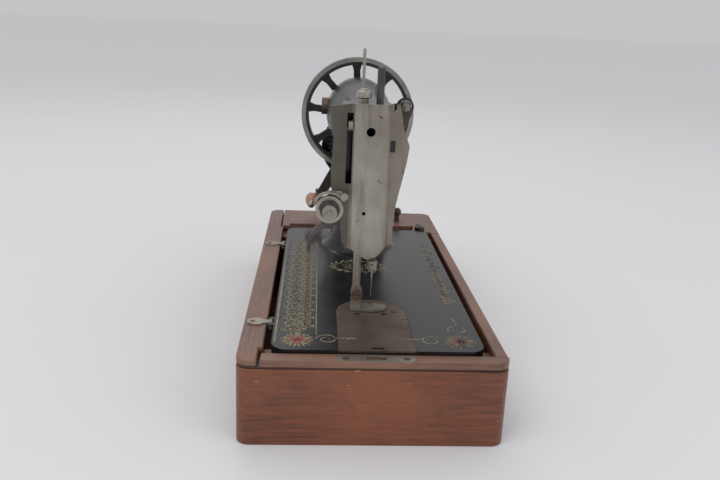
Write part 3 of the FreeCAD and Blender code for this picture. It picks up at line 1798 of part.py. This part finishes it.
def make_winder():
    y = d.winder_y
    z = d.winder_z
    pivot_y = winder_pivot_y()
    pivot_z = winder_pivot_z()
    x = d.winder_x
    stay = box("winder_stay", (x - 14, pivot_y - 6, pivot_z - 6), (x - 9, -20, pivot_z + 6))
    pivot = rod("winder_pivot", "X", (x - 14, pivot_y, pivot_z), 2.5, 12)
    whole = fuse("winder_stay_whole", [stay, pivot])
    keep("winder_bracket", cut("winder_bracket", whole, [nodes["arm_casting"]]))
    arm_start = x - 8.6
    arm = panel(
        "winder_arm_blank",
        "YZ",
        [
            (pivot_y - 5, pivot_z - 5),
            (pivot_y + 5, pivot_z - 5),
            (pivot_y + 5, pivot_z + 6),
            (y + 5, z + 5),
            (y - 5, z + 5),
            (y - 8, z - 8),
        ],
        arm_start,
        4,
        holes=[((pivot_y, pivot_z), 2.5 + d.running_gap), ((y, z), 2.6 + d.running_gap)],
    )
    keep("winder_arm", arm)
    seat = rod("winder_bobbin_seat", "X", (x - 26, y, z), 3, 14)
    spindle = rod("winder_spindle_rod", "X", (x - 13, y, z), 2.6, 19)
    bobbin_stop = rod("winder_stop", "X", (x - 12, y, z), 5, 3)
    pulley = rod("winder_pulley", "X", (x - 4, y, z), 8, 8)
    keep("winder_spindle", fuse("winder_spindle", [seat, spindle, bobbin_stop, pulley]))
    tyre = rod("winder_tyre_outer", "X", (x - 3, y, z), 10.5, 6)
    tyre_bore = rod("winder_tyre_bore", "X", (x - 4, y, z), 8, 8)
    keep("winder_tyre", cut("winder_tyre", tyre, [tyre_bore]))


make_base_boards()
make_edge_bead()
make_rails()
make_far_board()
make_compartment()
latch_post = make_rest_blocks()
keep("base_screws", group("base_screws", make_lock_plate() + make_hinges()))
make_hinge_pins()
make_latch()
keep("base_pins", group("base_pins", [latch_post, make_lid()]))
make_bed()
needle_plate_screw = make_plates()
make_feed_dog()
make_under_works()
make_arm()
make_faceplate()
make_take_up()
make_bars()
make_presser_foot()
make_lifter()
make_tension()
keep("head_screws", group("head_screws", [needle_plate_screw, make_head_top()]))
make_handwheel()
make_crank()
make_crank_arm()
make_gear_case()
make_winder()

document.recompute()

# Every object has to be sound before anything is written

for item in document.Objects:
    faults = [word for word in item.State if word in ("Invalid", "Error")]
    if faults:
        raise RuntimeError("%s is %s" % (item.Name, faults))
for name, piece in nodes.items():
    shape = piece.Shape
    if shape.isNull() or not shape.isValid() or not shape.Solids:
        raise RuntimeError("%s has no sound solid" % name)

for name, piece in nodes.items():
    piece.Shape.exportStep(os.path.join("parts", name + ".step"))
    print("%-20s solids %d volume %.0f" % (name, len(piece.Shape.Solids), piece.Shape.Volume))
print(len(nodes), "nodes")
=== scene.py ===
import json
import math

import bmesh
import bpy
from mathutils import Matrix, Vector


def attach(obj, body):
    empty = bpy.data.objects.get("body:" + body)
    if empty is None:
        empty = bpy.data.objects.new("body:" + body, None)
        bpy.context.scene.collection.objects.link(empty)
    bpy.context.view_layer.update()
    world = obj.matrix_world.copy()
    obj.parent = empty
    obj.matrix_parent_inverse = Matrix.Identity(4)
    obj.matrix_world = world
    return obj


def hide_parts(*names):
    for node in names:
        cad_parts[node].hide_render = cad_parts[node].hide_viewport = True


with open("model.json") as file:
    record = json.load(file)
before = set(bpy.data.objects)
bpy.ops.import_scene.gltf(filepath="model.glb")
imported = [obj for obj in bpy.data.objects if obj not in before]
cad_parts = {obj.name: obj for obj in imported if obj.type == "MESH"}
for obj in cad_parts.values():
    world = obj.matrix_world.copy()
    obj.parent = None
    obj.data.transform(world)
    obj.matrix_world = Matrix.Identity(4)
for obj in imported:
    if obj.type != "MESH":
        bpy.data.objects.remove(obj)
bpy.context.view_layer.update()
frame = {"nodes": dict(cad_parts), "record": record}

NODES = frame["nodes"]
RECORD = frame["record"]
MM = 0.001

# Places on the part, in metres
WHEEL_AXIS_Y = 0.001
WHEEL_AXIS_Z = 0.2285
RIM_BAND = (0.0645, 0.0651)
REAR_FLANK = (0.0185, 0.0225)
FRONT_FLANK = (-0.009, -0.013)
GOLD_HEIGHT = 0.08006
GREEN_HEIGHT = 0.08008
RED_HEIGHT = 0.08010
WREATH_CENTRE = (-12, 2)

# Studio and camera
FLOOR_RADIUS = 40
FLOOR_CORNERS = 64
CAMERA_PLACE = (-0.7856, 0.0528, 0.3397)
CAMERA_LENS = 36.82


# Node material helpers

class Paint:
    """A node material under construction; coordinates are the object's own, in metres."""

    def __init__(self, name):
        self.material = bpy.data.materials.new(name)
        self.material.use_nodes = True
        self.tree = self.material.node_tree
        self.shader = self.tree.nodes["Principled BSDF"]
        self.coords = self.tree.nodes.new("ShaderNodeTexCoord").outputs["Object"]

    def join(self, source, target):
        self.tree.links.new(source, target)

    def feed(self, socket, value):
        if isinstance(value, bpy.types.NodeSocket):
            self.join(value, socket)
        elif isinstance(value, (tuple, list)) and len(value) == 3 and len(socket.default_value) == 4:
            socket.default_value = (*value, 1)
        else:
            socket.default_value = value

    def mapped(self, stretch):
        node = self.tree.nodes.new("ShaderNodeMapping")
        self.join(self.coords, node.inputs["Vector"])
        node.inputs["Scale"].default_value = stretch
        return node.outputs["Vector"]

    def noise(self, scale, stretch=(1, 1, 1), detail=5, rough=0.55, distortion=0.0):
        node = self.tree.nodes.new("ShaderNodeTexNoise")
        self.join(self.mapped(stretch), node.inputs["Vector"])
        node.inputs["Scale"].default_value = scale
        node.inputs["Detail"].default_value = detail
        node.inputs["Roughness"].default_value = rough
        node.inputs["Distortion"].default_value = distortion
        return node.outputs["Fac"]

    def ramp(self, factor, low, high, start=0.0, end=1.0):
        """Spreads the part of a factor between low and high over start to end."""
        node = self.tree.nodes.new("ShaderNodeMapRange")
        self.join(factor, node.inputs["Value"])
        node.inputs["From Min"].default_value = low
        node.inputs["From Max"].default_value = high
        node.inputs["To Min"].default_value = start
        node.inputs["To Max"].default_value = end
        return node.outputs["Result"]

    def maths(self, operation, first, second):
        node = self.tree.nodes.new("ShaderNodeMath")
        node.operation = operation
        self.feed(node.inputs[0], first)
        self.feed(node.inputs[1], second)
        return node.outputs[0]

    def mix(self, factor, first, second):
        node = self.tree.nodes.new("ShaderNodeMix")
        node.data_type = "RGBA"
        self.feed(node.inputs["Factor"], factor)
        self.feed(node.inputs["A"], first)
        self.feed(node.inputs["B"], second)
        return node.outputs["Result"]

    def part(self, axis):
        node = self.tree.nodes.new("ShaderNodeSeparateXYZ")
        self.join(self.coords, node.inputs[0])
        return node.outputs[axis]

    def bump(self, height, strength, distance):
        node = self.tree.nodes.new("ShaderNodeBump")
        self.join(height, node.inputs["Height"])
        node.inputs["Strength"].default_value = strength
        node.inputs["Distance"].default_value = distance
        self.join(node.outputs["Normal"], self.shader.inputs["Normal"])

    def finish(self, colour, roughness, metallic=0.0, coat=0.0):
        self.feed(self.shader.inputs["Base Color"], colour)
        self.feed(self.shader.inputs["Roughness"], roughness)
        self.shader.inputs["Metallic"].default_value = metallic
        self.shader.inputs["Coat Weight"].default_value = coat
        self.shader.inputs["Coat Roughness"].default_value = 0.25
        return self.material


def grain_stretch(along, ratio):
    return tuple(1.0 if axis == along else ratio for axis in "XYZ")


def wood(name, along, base, dark, light, scuffs):
    """Worn varnished wood: long grain, dark blotches, pale scuffs and fine scratches."""
    p = Paint(name)
    grain = p.noise(26, grain_stretch(along, 14), 8, 0.62, 0.5)
    pores = p.noise(60, grain_stretch(along, 26), 3, 0.6)
    blotch = p.noise(11, detail=4, rough=0.6)
    dirt = p.noise(34, detail=6, rough=0.7)
    scratch = p.noise(160, grain_stretch(along, 1.6), 4, 0.6, 0.4)
    colour = p.mix(p.ramp(grain, 0.36, 0.66), dark, base)
    colour = p.mix(p.ramp(blotch, 0.38, 0.66, 0, 0.75), colour, light)
    colour = p.mix(p.ramp(pores, 0.56, 0.70, 0, 0.55), colour, dark)
    colour = p.mix(p.ramp(dirt, 0.62, 0.74, 0, 0.75), colour, tuple(c * 0.45 for c in dark))
    pale = p.maths("MULTIPLY", p.ramp(scratch, 0.66, 0.71), p.ramp(blotch, 0.5, 0.62))
    colour = p.mix(p.maths("MULTIPLY", pale, scuffs), colour, (0.50, 0.34, 0.22))
    roughness = p.ramp(blotch, 0.3, 0.7, 0.34, 0.52)
    p.bump(p.maths("ADD", grain, p.maths("MULTIPLY", pores, 0.6)), 0.35, 0.0004)
    return p.finish(colour, roughness, coat=0.15)


def japan(name):
    """Black japanned iron: glossy, smudged, with dust and small brown chips."""
    p = Paint(name)
    smudge = p.noise(14, detail=5, rough=0.6)
    fine = p.noise(190, detail=4, rough=0.7)
    chips = p.noise(75, detail=6, rough=0.75)
    colour = p.mix(p.ramp(smudge, 0.35, 0.7), (0.0045, 0.0048, 0.0058), (0.014, 0.014, 0.0145))
    colour = p.mix(p.ramp(chips, 0.68, 0.74, 0, 0.8), colour, (0.085, 0.055, 0.032))
    colour = p.mix(p.ramp(fine, 0.64, 0.78, 0, 0.16), colour, (0.05, 0.046, 0.042))
    p.bump(fine, 0.05, 0.0001)
    return p.finish(colour, p.ramp(smudge, 0.3, 0.7, 0.16, 0.30), coat=0.1)


def metal(name, base, stain, dark, spots, rough, brush=None):
    """Old plated or bare steel: clouded tarnish, dark spots and fine brushing."""
    p = Paint(name)
    cloud = p.noise(24, detail=6, rough=0.65)
    speck = p.noise(150, detail=5, rough=0.72)
    broad = p.noise(9, detail=3, rough=0.5)
    line = p.noise(120, brush or (1, 1, 1), 3, 0.6)
    colour = p.mix(p.ramp(cloud, 0.38, 0.68), base, stain)
    colour = p.mix(p.ramp(broad, 0.45, 0.75, 0, 0.55), colour, dark)
    colour = p.mix(p.ramp(speck, 0.60, 0.72, 0, spots), colour, dark)
    p.bump(p.maths("ADD", line, speck), 0.14, 0.0003)
    return p.finish(colour, p.ramp(cloud, 0.3, 0.7, rough, rough + 0.2), metallic=0.85)


def gilt(name, colour):
    """Transfer ornament on the japan, worn away more towards the front of the bed."""
    p = Paint(name)
    patch = p.noise(45, detail=6, rough=0.7)
    fine = p.noise(420, detail=3, rough=0.7)
    lost = p.ramp(p.part("Y"), -0.09, 0.07, 0.16, 0.0)
    wear = p.ramp(p.maths("ADD", patch, lost), 0.56, 0.78)
    shade = p.mix(p.ramp(fine, 0.4, 0.65), tuple(c * 0.55 for c in colour), colour)
    final = p.mix(wear, shade, (0.012, 0.012, 0.013))
    p.bump(fine, 0.1, 0.0002)
    return p.finish(final, p.ramp(fine, 0.3, 0.7, 0.35, 0.55), metallic=0.2)


def wheel_paint(name):
    """Black japan with a bare plated band at the rim, by distance from the wheel's axis."""
    p = Paint(name)
    y = p.maths("SUBTRACT", p.part("Y"), WHEEL_AXIS_Y)
    z = p.maths("SUBTRACT", p.part("Z"), WHEEL_AXIS_Z)
    squares = p.maths("ADD", p.maths("MULTIPLY", y, y), p.maths("MULTIPLY", z, z))
    reach = p.maths("SQRT", squares, 0)
    band = p.ramp(reach, *RIM_BAND)
    cloud = p.noise(30, detail=6, rough=0.65)
    speck = p.noise(150, detail=5, rough=0.72)
    plated = p.mix(p.ramp(cloud, 0.38, 0.68), (0.36, 0.35, 0.33), (0.20, 0.185, 0.16))
    plated = p.mix(p.ramp(speck, 0.60, 0.72, 0, 0.7), plated, (0.06, 0.045, 0.03))
    dark = p.mix(p.ramp(cloud, 0.35, 0.7), (0.005, 0.005, 0.006), (0.014, 0.014, 0.014))
    p.join(p.maths("MULTIPLY", band, 0.85), p.shader.inputs["Metallic"])
    p.bump(speck, 0.08, 0.0002)
    colour = p.mix(band, dark, plated)
    p.feed(p.shader.inputs["Base Color"], colour)
    p.feed(p.shader.inputs["Roughness"], p.ramp(cloud, 0.3, 0.7, 0.2, 0.36))
    return p.material


def plate_paint(name):
    """The faceplate: worn plating, darker and browner on its flanks, with rust spots and runs."""
    p = Paint(name)
    cloud = p.noise(24, detail=6, rough=0.65)
    speck = p.noise(120, detail=6, rough=0.75)
    runs = p.noise(70, (1, 1, 0.10), 4, 0.6)
    colour = p.mix(p.ramp(cloud, 0.38, 0.68), (0.38, 0.355, 0.31), (0.25, 0.225, 0.18))
    y = p.part("Y")
    left = p.ramp(y, *REAR_FLANK)
    right = p.ramp(y, *FRONT_FLANK)
    colour = p.mix(p.maths("MULTIPLY", left, 0.78), colour, (0.065, 0.055, 0.043))
    colour = p.mix(p.maths("MULTIPLY", right, 0.45), colour, (0.13, 0.10, 0.07))
    colour = p.mix(p.ramp(runs, 0.54, 0.68, 0, 0.55), colour, (0.12, 0.088, 0.06))
    colour = p.mix(p.ramp(speck, 0.62, 0.70, 0, 0.9), colour, (0.055, 0.030, 0.018))
    p.bump(speck, 0.14, 0.0003)
    return p.finish(colour, p.ramp(cloud, 0.3, 0.7, 0.26, 0.46), metallic=0.85)


def plain_rubber(name):
    p = Paint(name)
    fine = p.noise(160, detail=4)
    p.bump(fine, 0.3, 0.0003)
    colour = p.mix(p.ramp(fine, 0.4, 0.7), (0.012, 0.012, 0.012), (0.045, 0.042, 0.038))
    return p.finish(colour, p.ramp(fine, 0.3, 0.7, 0.55, 0.8))


MAHOGANY = ((0.190, 0.052, 0.019), (0.080, 0.024, 0.010), (0.235, 0.072, 0.027))
RAIL = ((0.185, 0.088, 0.056), (0.080, 0.036, 0.023), (0.25, 0.125, 0.080))

board_y = wood("board_across", "Y", *MAHOGANY, 0.8)
board_x = wood("board_along", "X", *MAHOGANY, 0.8)
rail_y = wood("rail_across", "Y", *RAIL, 0.5)
rail_x = wood("rail_along", "X", *RAIL, 0.5)
# The edge bead's near-black colour is dark wood, darkened further by a painted shadow from under the top
# frame's edge.
bead_wood_and_painted_shadow = wood(
    "bead_wood_and_painted_shadow", "Y", (0.045, 0.020, 0.013), (0.012, 0.007, 0.006), (0.07, 0.03, 0.02), 0.2
)
pale_wood = wood(
    "turned_wood", "X", (0.40, 0.17, 0.070), (0.20, 0.075, 0.03), (0.52, 0.26, 0.12), 0.2
)
black = japan("black_japan")
nickel = metal(
    "worn_nickel", (0.40, 0.375, 0.325), (0.27, 0.245, 0.20), (0.12, 0.09, 0.06), 0.85, 0.26, (14, 14, 1)
)
dark_steel = metal("dark_steel", (0.13, 0.125, 0.12), (0.075, 0.07, 0.065), (0.03, 0.026, 0.022), 0.7, 0.34)
brown_steel = metal(
    "brown_steel", (0.20, 0.150, 0.115), (0.13, 0.092, 0.068), (0.055, 0.036, 0.026), 0.8, 0.34, (1, 9, 1)
)
bright_steel = metal("bright_steel", (0.55, 0.54, 0.51), (0.38, 0.36, 0.33), (0.16, 0.13, 0.10), 0.5, 0.22)
brass = metal("dull_brass", (0.42, 0.32, 0.15), (0.26, 0.19, 0.09), (0.10, 0.07, 0.04), 0.7, 0.32)
rubber = plain_rubber("old_rubber")

BY_SLOT = {
    "mahogany": board_y,
    "dark_wood": bead_wood_and_painted_shadow,
    "pale_wood": pale_wood,
    "japanned_iron": black,
    "nickel": nickel,
    "dark_steel": dark_steel,
    "tarnished_steel": brown_steel,
    "bright_steel": bright_steel,
    "brass": brass,
    "rubber": rubber,
}
BY_NODE = {
    "front_board": board_x,
    "rear_board": board_x,
    "bottom_board": board_x,
    "rear_rail": rail_x,
    "front_rail": rail_x,
    "near_rail": rail_y,
    "far_rail": rail_y,
    "far_board": rail_y,
    "compartment_lid": rail_y,
    "handwheel": wheel_paint("wheel_japan"),
    "faceplate": plate_paint("plate_nickel"),
    "pressure_nut": nickel,
    "handle_lug": nickel,
}
SLOT_OF = {part["node"]: part["material_slot"] for part in RECORD["subparts"]}
BODY_OF = {
    node: body for body, members in RECORD["behaviour"]["bodies"].items() for node in members
}

# Rounded edges, in millimetres; a node that isn't named here gets the small edge
SMALL_EDGE = 0.25
EDGE = {
    "near_end_board": 1.0,
    "far_end_board": 1.0,
    "front_board": 0.8,
    "rear_board": 0.8,
    "edge_bead": 0.7,
    "rear_rail": 2.0,
    "near_rail": 1.6,
    "front_rail": 1.8,
    "far_rail": 2.0,
    "far_board": 1.6,
    "compartment_lid": 1.8,
    "bed": 1.3,
    "arm_casting": 2.2,
    "faceplate": 0.9,
    "handwheel": 0.9,
    "gear_case": 0.9,
    "crank_arm": 1.2,
    "pressure_nut": 0.8,
    "presser_foot": 0.5,
    "clutch_knob": 0.9,
}
UNBEVELLED = {"tension_spring", "needle", "crank_handle", "hinge_pins", "needle_bar", "spool_pin"}


def skin(node):
    """A copy of a node's mesh with rounded edges and smooth shading that stands for it."""
    mesh = NODES[node].data.copy()
    mesh.name = node + "_skin"
    work = bmesh.new()
    work.from_mesh(mesh)
    bmesh.ops.remove_doubles(work, verts=work.verts, dist=2e-6)
    bmesh.ops.dissolve_limit(
        work, angle_limit=math.radians(0.6), verts=work.verts, edges=work.edges
    )
    work.to_mesh(mesh)
    work.free()
    piece = bpy.data.objects.new(node + "_skin", mesh)
    bpy.context.scene.collection.objects.link(piece)
    mesh.shade_smooth()
    mesh.set_sharp_from_angle(angle=math.radians(32))
    if node not in UNBEVELLED:
        bevel = piece.modifiers.new("edges", "BEVEL")
        bevel.width = EDGE.get(node, SMALL_EDGE) * MM
        bevel.segments = 3 if node in EDGE else 2
        bevel.limit_method = "ANGLE"
        bevel.angle_limit = math.radians(38)
        bevel.use_clamp_overlap = True
        bevel.harden_normals = True
    mesh.materials.clear()
    mesh.materials.append(BY_NODE.get(node) or BY_SLOT[SLOT_OF[node]])
    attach(piece, BODY_OF[node])
    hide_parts(node)
    return piece


skins = {node: skin(node) for node in sorted(NODES)}


# Ornament on the bed: a generic running vine, corner rosettes and a wreath

class Flat:
    """Collects flat strips and leaves that lie just above the bed."""

    def __init__(self, name, material, height):
        self.name = name
        self.material = material
        self.height = height
        self.points = []
        self.faces = []

    def add(self, outline):
        start = len(self.points)
        self.points += [(x * MM, y * MM, self.height) for x, y in outline]
        self.faces.append(tuple(range(start, start + len(outline))))

    def ribbon(self, path, width):
        """A strip along a path that tapers to both ends."""
        count = len(path)
        sides = []
        for number, (x, y) in enumerate(path):
            before = path[max(number - 1, 0)]
            after = path[min(number + 1, count - 1)]
            way = math.atan2(after[1] - before[1], after[0] - before[0]) + math.pi / 2
            share = number / (count - 1)
            half = width / 2 * (0.25 + 0.75 * math.sin(math.pi * min(share * 1.15 + 0.1, 1.0)))
            step = (math.cos(way) * half, math.sin(way) * half)
            sides.append(((x + step[0], y + step[1]), (x - step[0], y - step[1])))
        for (a, b), (c, e) in zip(sides, sides[1:]):
            self.add([a, b, e, c])

    def leaf(self, x, y, angle, length, width):
        outline = []
        for share in (0, 0.15, 0.35, 0.6, 0.82, 1.0):
            outline.append((share * length, width / 2 * math.sin(math.pi * share ** 0.75)))
        outline += [(u, -v) for u, v in reversed(outline[1:-1])]
        c = math.cos(angle)
        s = math.sin(angle)
        self.add([(x + u * c - v * s, y + u * s + v * c) for u, v in outline])

    def spiral(self, x, y, start_angle, radius, turns, width, hand=1):
        path = []
        steps = int(22 * turns)
        for number in range(steps + 1):
            share = number / steps
            angle = start_angle + hand * 2 * math.pi * turns * share
            reach = radius * (1 - 0.82 * share)
            path.append((x + reach * math.cos(angle), y + reach * math.sin(angle)))
        self.ribbon(path, width)

    def build(self):
        mesh = bpy.data.meshes.new(self.name)
        mesh.from_pydata(self.points, [], self.faces)
        mesh.materials.append(self.material)
        piece = bpy.data.objects.new(self.name, mesh)
        bpy.context.scene.collection.objects.link(piece)
        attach(piece, "machine_head")
        return piece


gold = Flat("bed_vine", gilt("vine_gilt", (0.34, 0.29, 0.15)), GOLD_HEIGHT)
green = Flat("bed_leaves", gilt("leaf_green", (0.20, 0.23, 0.10)), GREEN_HEIGHT)
red = Flat("bed_blooms", gilt("bloom_red", (0.30, 0.085, 0.055)), RED_HEIGHT)


def vine(start_x, end_x, centre_y, sweep, pitch, hand):
    """A waving stem with a spiral in each bend, leaf pairs and small blooms."""
    stem = []
    x = start_x
    while x <= end_x:
        stem.append((x, centre_y + hand * sweep * 0.55 * math.sin(2 * math.pi * (x - start_x) / pitch)))
        x += pitch / 22
    gold.ribbon(stem, 1.3)
    bends = int((end_x - start_x) / (pitch / 2))
    for number in range(bends):
        x = start_x + (number + 0.5) * pitch / 2
        side = hand * (1 if number % 2 == 0 else -1)
        gold.spiral(
            x + 1, centre_y - side * sweep * 0.12, side * math.pi / 2, sweep * 0.58, 1.6, 1.1, -side
        )
        green.leaf(x - 2, centre_y + side * sweep * 0.62, side * 0.9, sweep * 0.72, 3.0)
        green.leaf(x + 3, centre_y + side * sweep * 0.62, side * 2.1, sweep * 0.60, 2.6)
        gold.leaf(x + pitch * 0.22, centre_y + side * sweep * 0.2, -side * 1.0, sweep * 0.62, 2.4)
        gold.leaf(x - pitch * 0.20, centre_y - side * sweep * 0.5, side * 2.6, sweep * 0.5, 2.2)
        for turn in range(5):
            red.leaf(x + 1, centre_y - side * sweep * 0.10, turn * math.tau / 5, 2.6, 1.7)


def rosette(x, y, radius, petals, flip):
    """A bloom of alternate red and green petals between two scrolls."""
    for number in range(petals):
        angle = number * math.tau / petals
        layer = red if number % 2 else green
        layer.leaf(x, y, angle, radius, radius * 0.52)
    for number in range(petals * 2):
        angle = (number + 0.5) * math.pi / petals
        gold.leaf(
            x + radius * 0.72 * math.cos(angle),
            y + radius * 0.72 * math.sin(angle),
            angle,
            radius * 0.55,
            1.6,
        )
    gold.spiral(x + radius * 2.15, y + flip * 2, math.pi, radius * 0.85, 1.7, 1.4, flip)
    gold.spiral(x + 2, y - flip * radius * 2.1, flip * math.pi / 2, radius * 0.8, 1.7, 1.4, -flip)
    for number in range(4):
        green.leaf(x + radius * (2.6 + number * 0.5), y + flip * (3 - number), 0.4 * flip, 6, 2.2)
        gold.leaf(x + 3, y - flip * radius * (2.6 + number * 0.42), -flip * 1.2, 6, 2.2)


vine(-196, 78, 69, 12, 26, 1)
vine(-186, 78, 57, 7, 19, -1)
vine(-120, 78, -81, 7, 26, -1)
gold.ribbon([(-216 + n * 9, 83) for n in range(34)], 1.6)
gold.ribbon([(-200 + n * 9, 48) for n in range(31)], 1.2)
rosette(-210, 64, 12, 10, 1)
rosette(-210, -76, 12, 10, -1)
for turn in range(18):
    angle = turn * math.tau / 18
    place = (WREATH_CENTRE[0] + 19 * math.cos(angle), WREATH_CENTRE[1] + 27 * math.sin(angle))
    green.leaf(*place, angle + 1.9, 9, 3.4)
    gold.leaf(*place, angle - 0.9, 8, 2.6)
for turn in range(6):
    gold.spiral(
        -12 + 9 * math.cos(turn * math.tau / 6), 2 + 14 * math.sin(turn * math.tau / 6), turn, 5.5, 1.5, 1.1
    )
    red.leaf(-12, 2, turn * math.tau / 6, 7, 3)
for layer in (gold, green, red):
    layer.build()


# Studio

def floor_material():
    p = Paint("pale_floor")
    faint = p.noise(3, detail=2)
    colour = p.mix(faint, (0.655, 0.655, 0.665), (0.675, 0.675, 0.68))
    return p.finish(colour, p.ramp(faint, 0, 1, 0.7, 0.8))


def area_light(name, place, target, size, power, colour):
    lamp = bpy.data.lights.new(name, "AREA")
    lamp.shape = "DISK"
    lamp.size = size
    lamp.energy = power
    lamp.color = colour
    item = bpy.data.objects.new(name, lamp)
    bpy.context.scene.collection.objects.link(item)
    item.location = place
    item.rotation_mode = "QUATERNION"
    item.rotation_quaternion = (Vector(target) - Vector(place)).to_track_quat("-Z", "Y")


floor_mesh = bpy.data.meshes.new("floor")
ring = []
for corner in range(FLOOR_CORNERS):
    bearing = corner * math.tau / FLOOR_CORNERS
    ring.append((FLOOR_RADIUS * math.cos(bearing), FLOOR_RADIUS * math.sin(bearing), 0))
floor_mesh.from_pydata(ring, [], [tuple(range(FLOOR_CORNERS))])
floor_mesh.materials.append(floor_material())
floor = bpy.data.objects.new("floor", floor_mesh)
bpy.context.scene.collection.objects.link(floor)

world = bpy.data.worlds.new("studio")
bpy.context.scene.world = world
world.use_nodes = True
background = world.node_tree.nodes["Background"]
nodes = world.node_tree.nodes
links = world.node_tree.links
rays = nodes.new("ShaderNodeLightPath")
either = nodes.new("ShaderNodeMath")
either.operation = "MAXIMUM"
seen = nodes.new("ShaderNodeMath")
seen.operation = "MAXIMUM"
links.new(rays.outputs["Is Camera Ray"], either.inputs[0])
links.new(rays.outputs["Is Glossy Ray"], either.inputs[1])
links.new(either.outputs[0], seen.inputs[0])
links.new(rays.outputs["Is Transmission Ray"], seen.inputs[1])
sky = nodes.new("ShaderNodeMix")
sky.data_type = "RGBA"
sky.inputs["A"].default_value = (0.80, 0.80, 0.82, 1)
sky.inputs["B"].default_value = (0.55, 0.55, 0.565, 1)
links.new(seen.outputs[0], sky.inputs["Factor"])
links.new(sky.outputs["Result"], background.inputs["Color"])
background.inputs["Strength"].default_value = 1.0

area_light("key", (-1.2, 1.1, 2.2), (0, 0, 0.1), 1.6, 15, (1, 0.99, 0.97))
area_light("fill", (-1.4, -1.5, 1.5), (0, 0, 0.1), 1.6, 7, (0.97, 0.98, 1))
area_light("back", (1.6, 0.3, 1.9), (0, 0, 0.1), 1.2, 5, (1, 1, 1))

# The photograph's camera

yaw = math.radians(-3.810)
pitch = math.radians(16.460)
roll = math.radians(2.549)
forward = Vector(
    (math.cos(pitch) * math.cos(yaw), math.cos(pitch) * math.sin(yaw), -math.sin(pitch))
)
right = forward.cross(Vector((0, 0, 1))).normalized()
upward = right.cross(forward)
rolled_right = math.cos(roll) * right + math.sin(roll) * upward
rolled_up = -math.sin(roll) * right + math.cos(roll) * upward
camera_data = bpy.data.cameras.new("camera")
camera_data.sensor_width = 36
camera_data.lens = CAMERA_LENS
camera_data.clip_start = 0.01
camera_data.clip_end = 100
camera = bpy.data.objects.new("camera", camera_data)
bpy.context.scene.collection.objects.link(camera)
turned = Matrix((rolled_right, rolled_up, -forward)).transposed()
camera.matrix_world = Matrix.Translation(CAMERA_PLACE) @ turned.to_4x4()
bpy.context.scene.camera = camera
bpy.context.scene.view_settings.view_transform = "Standard"
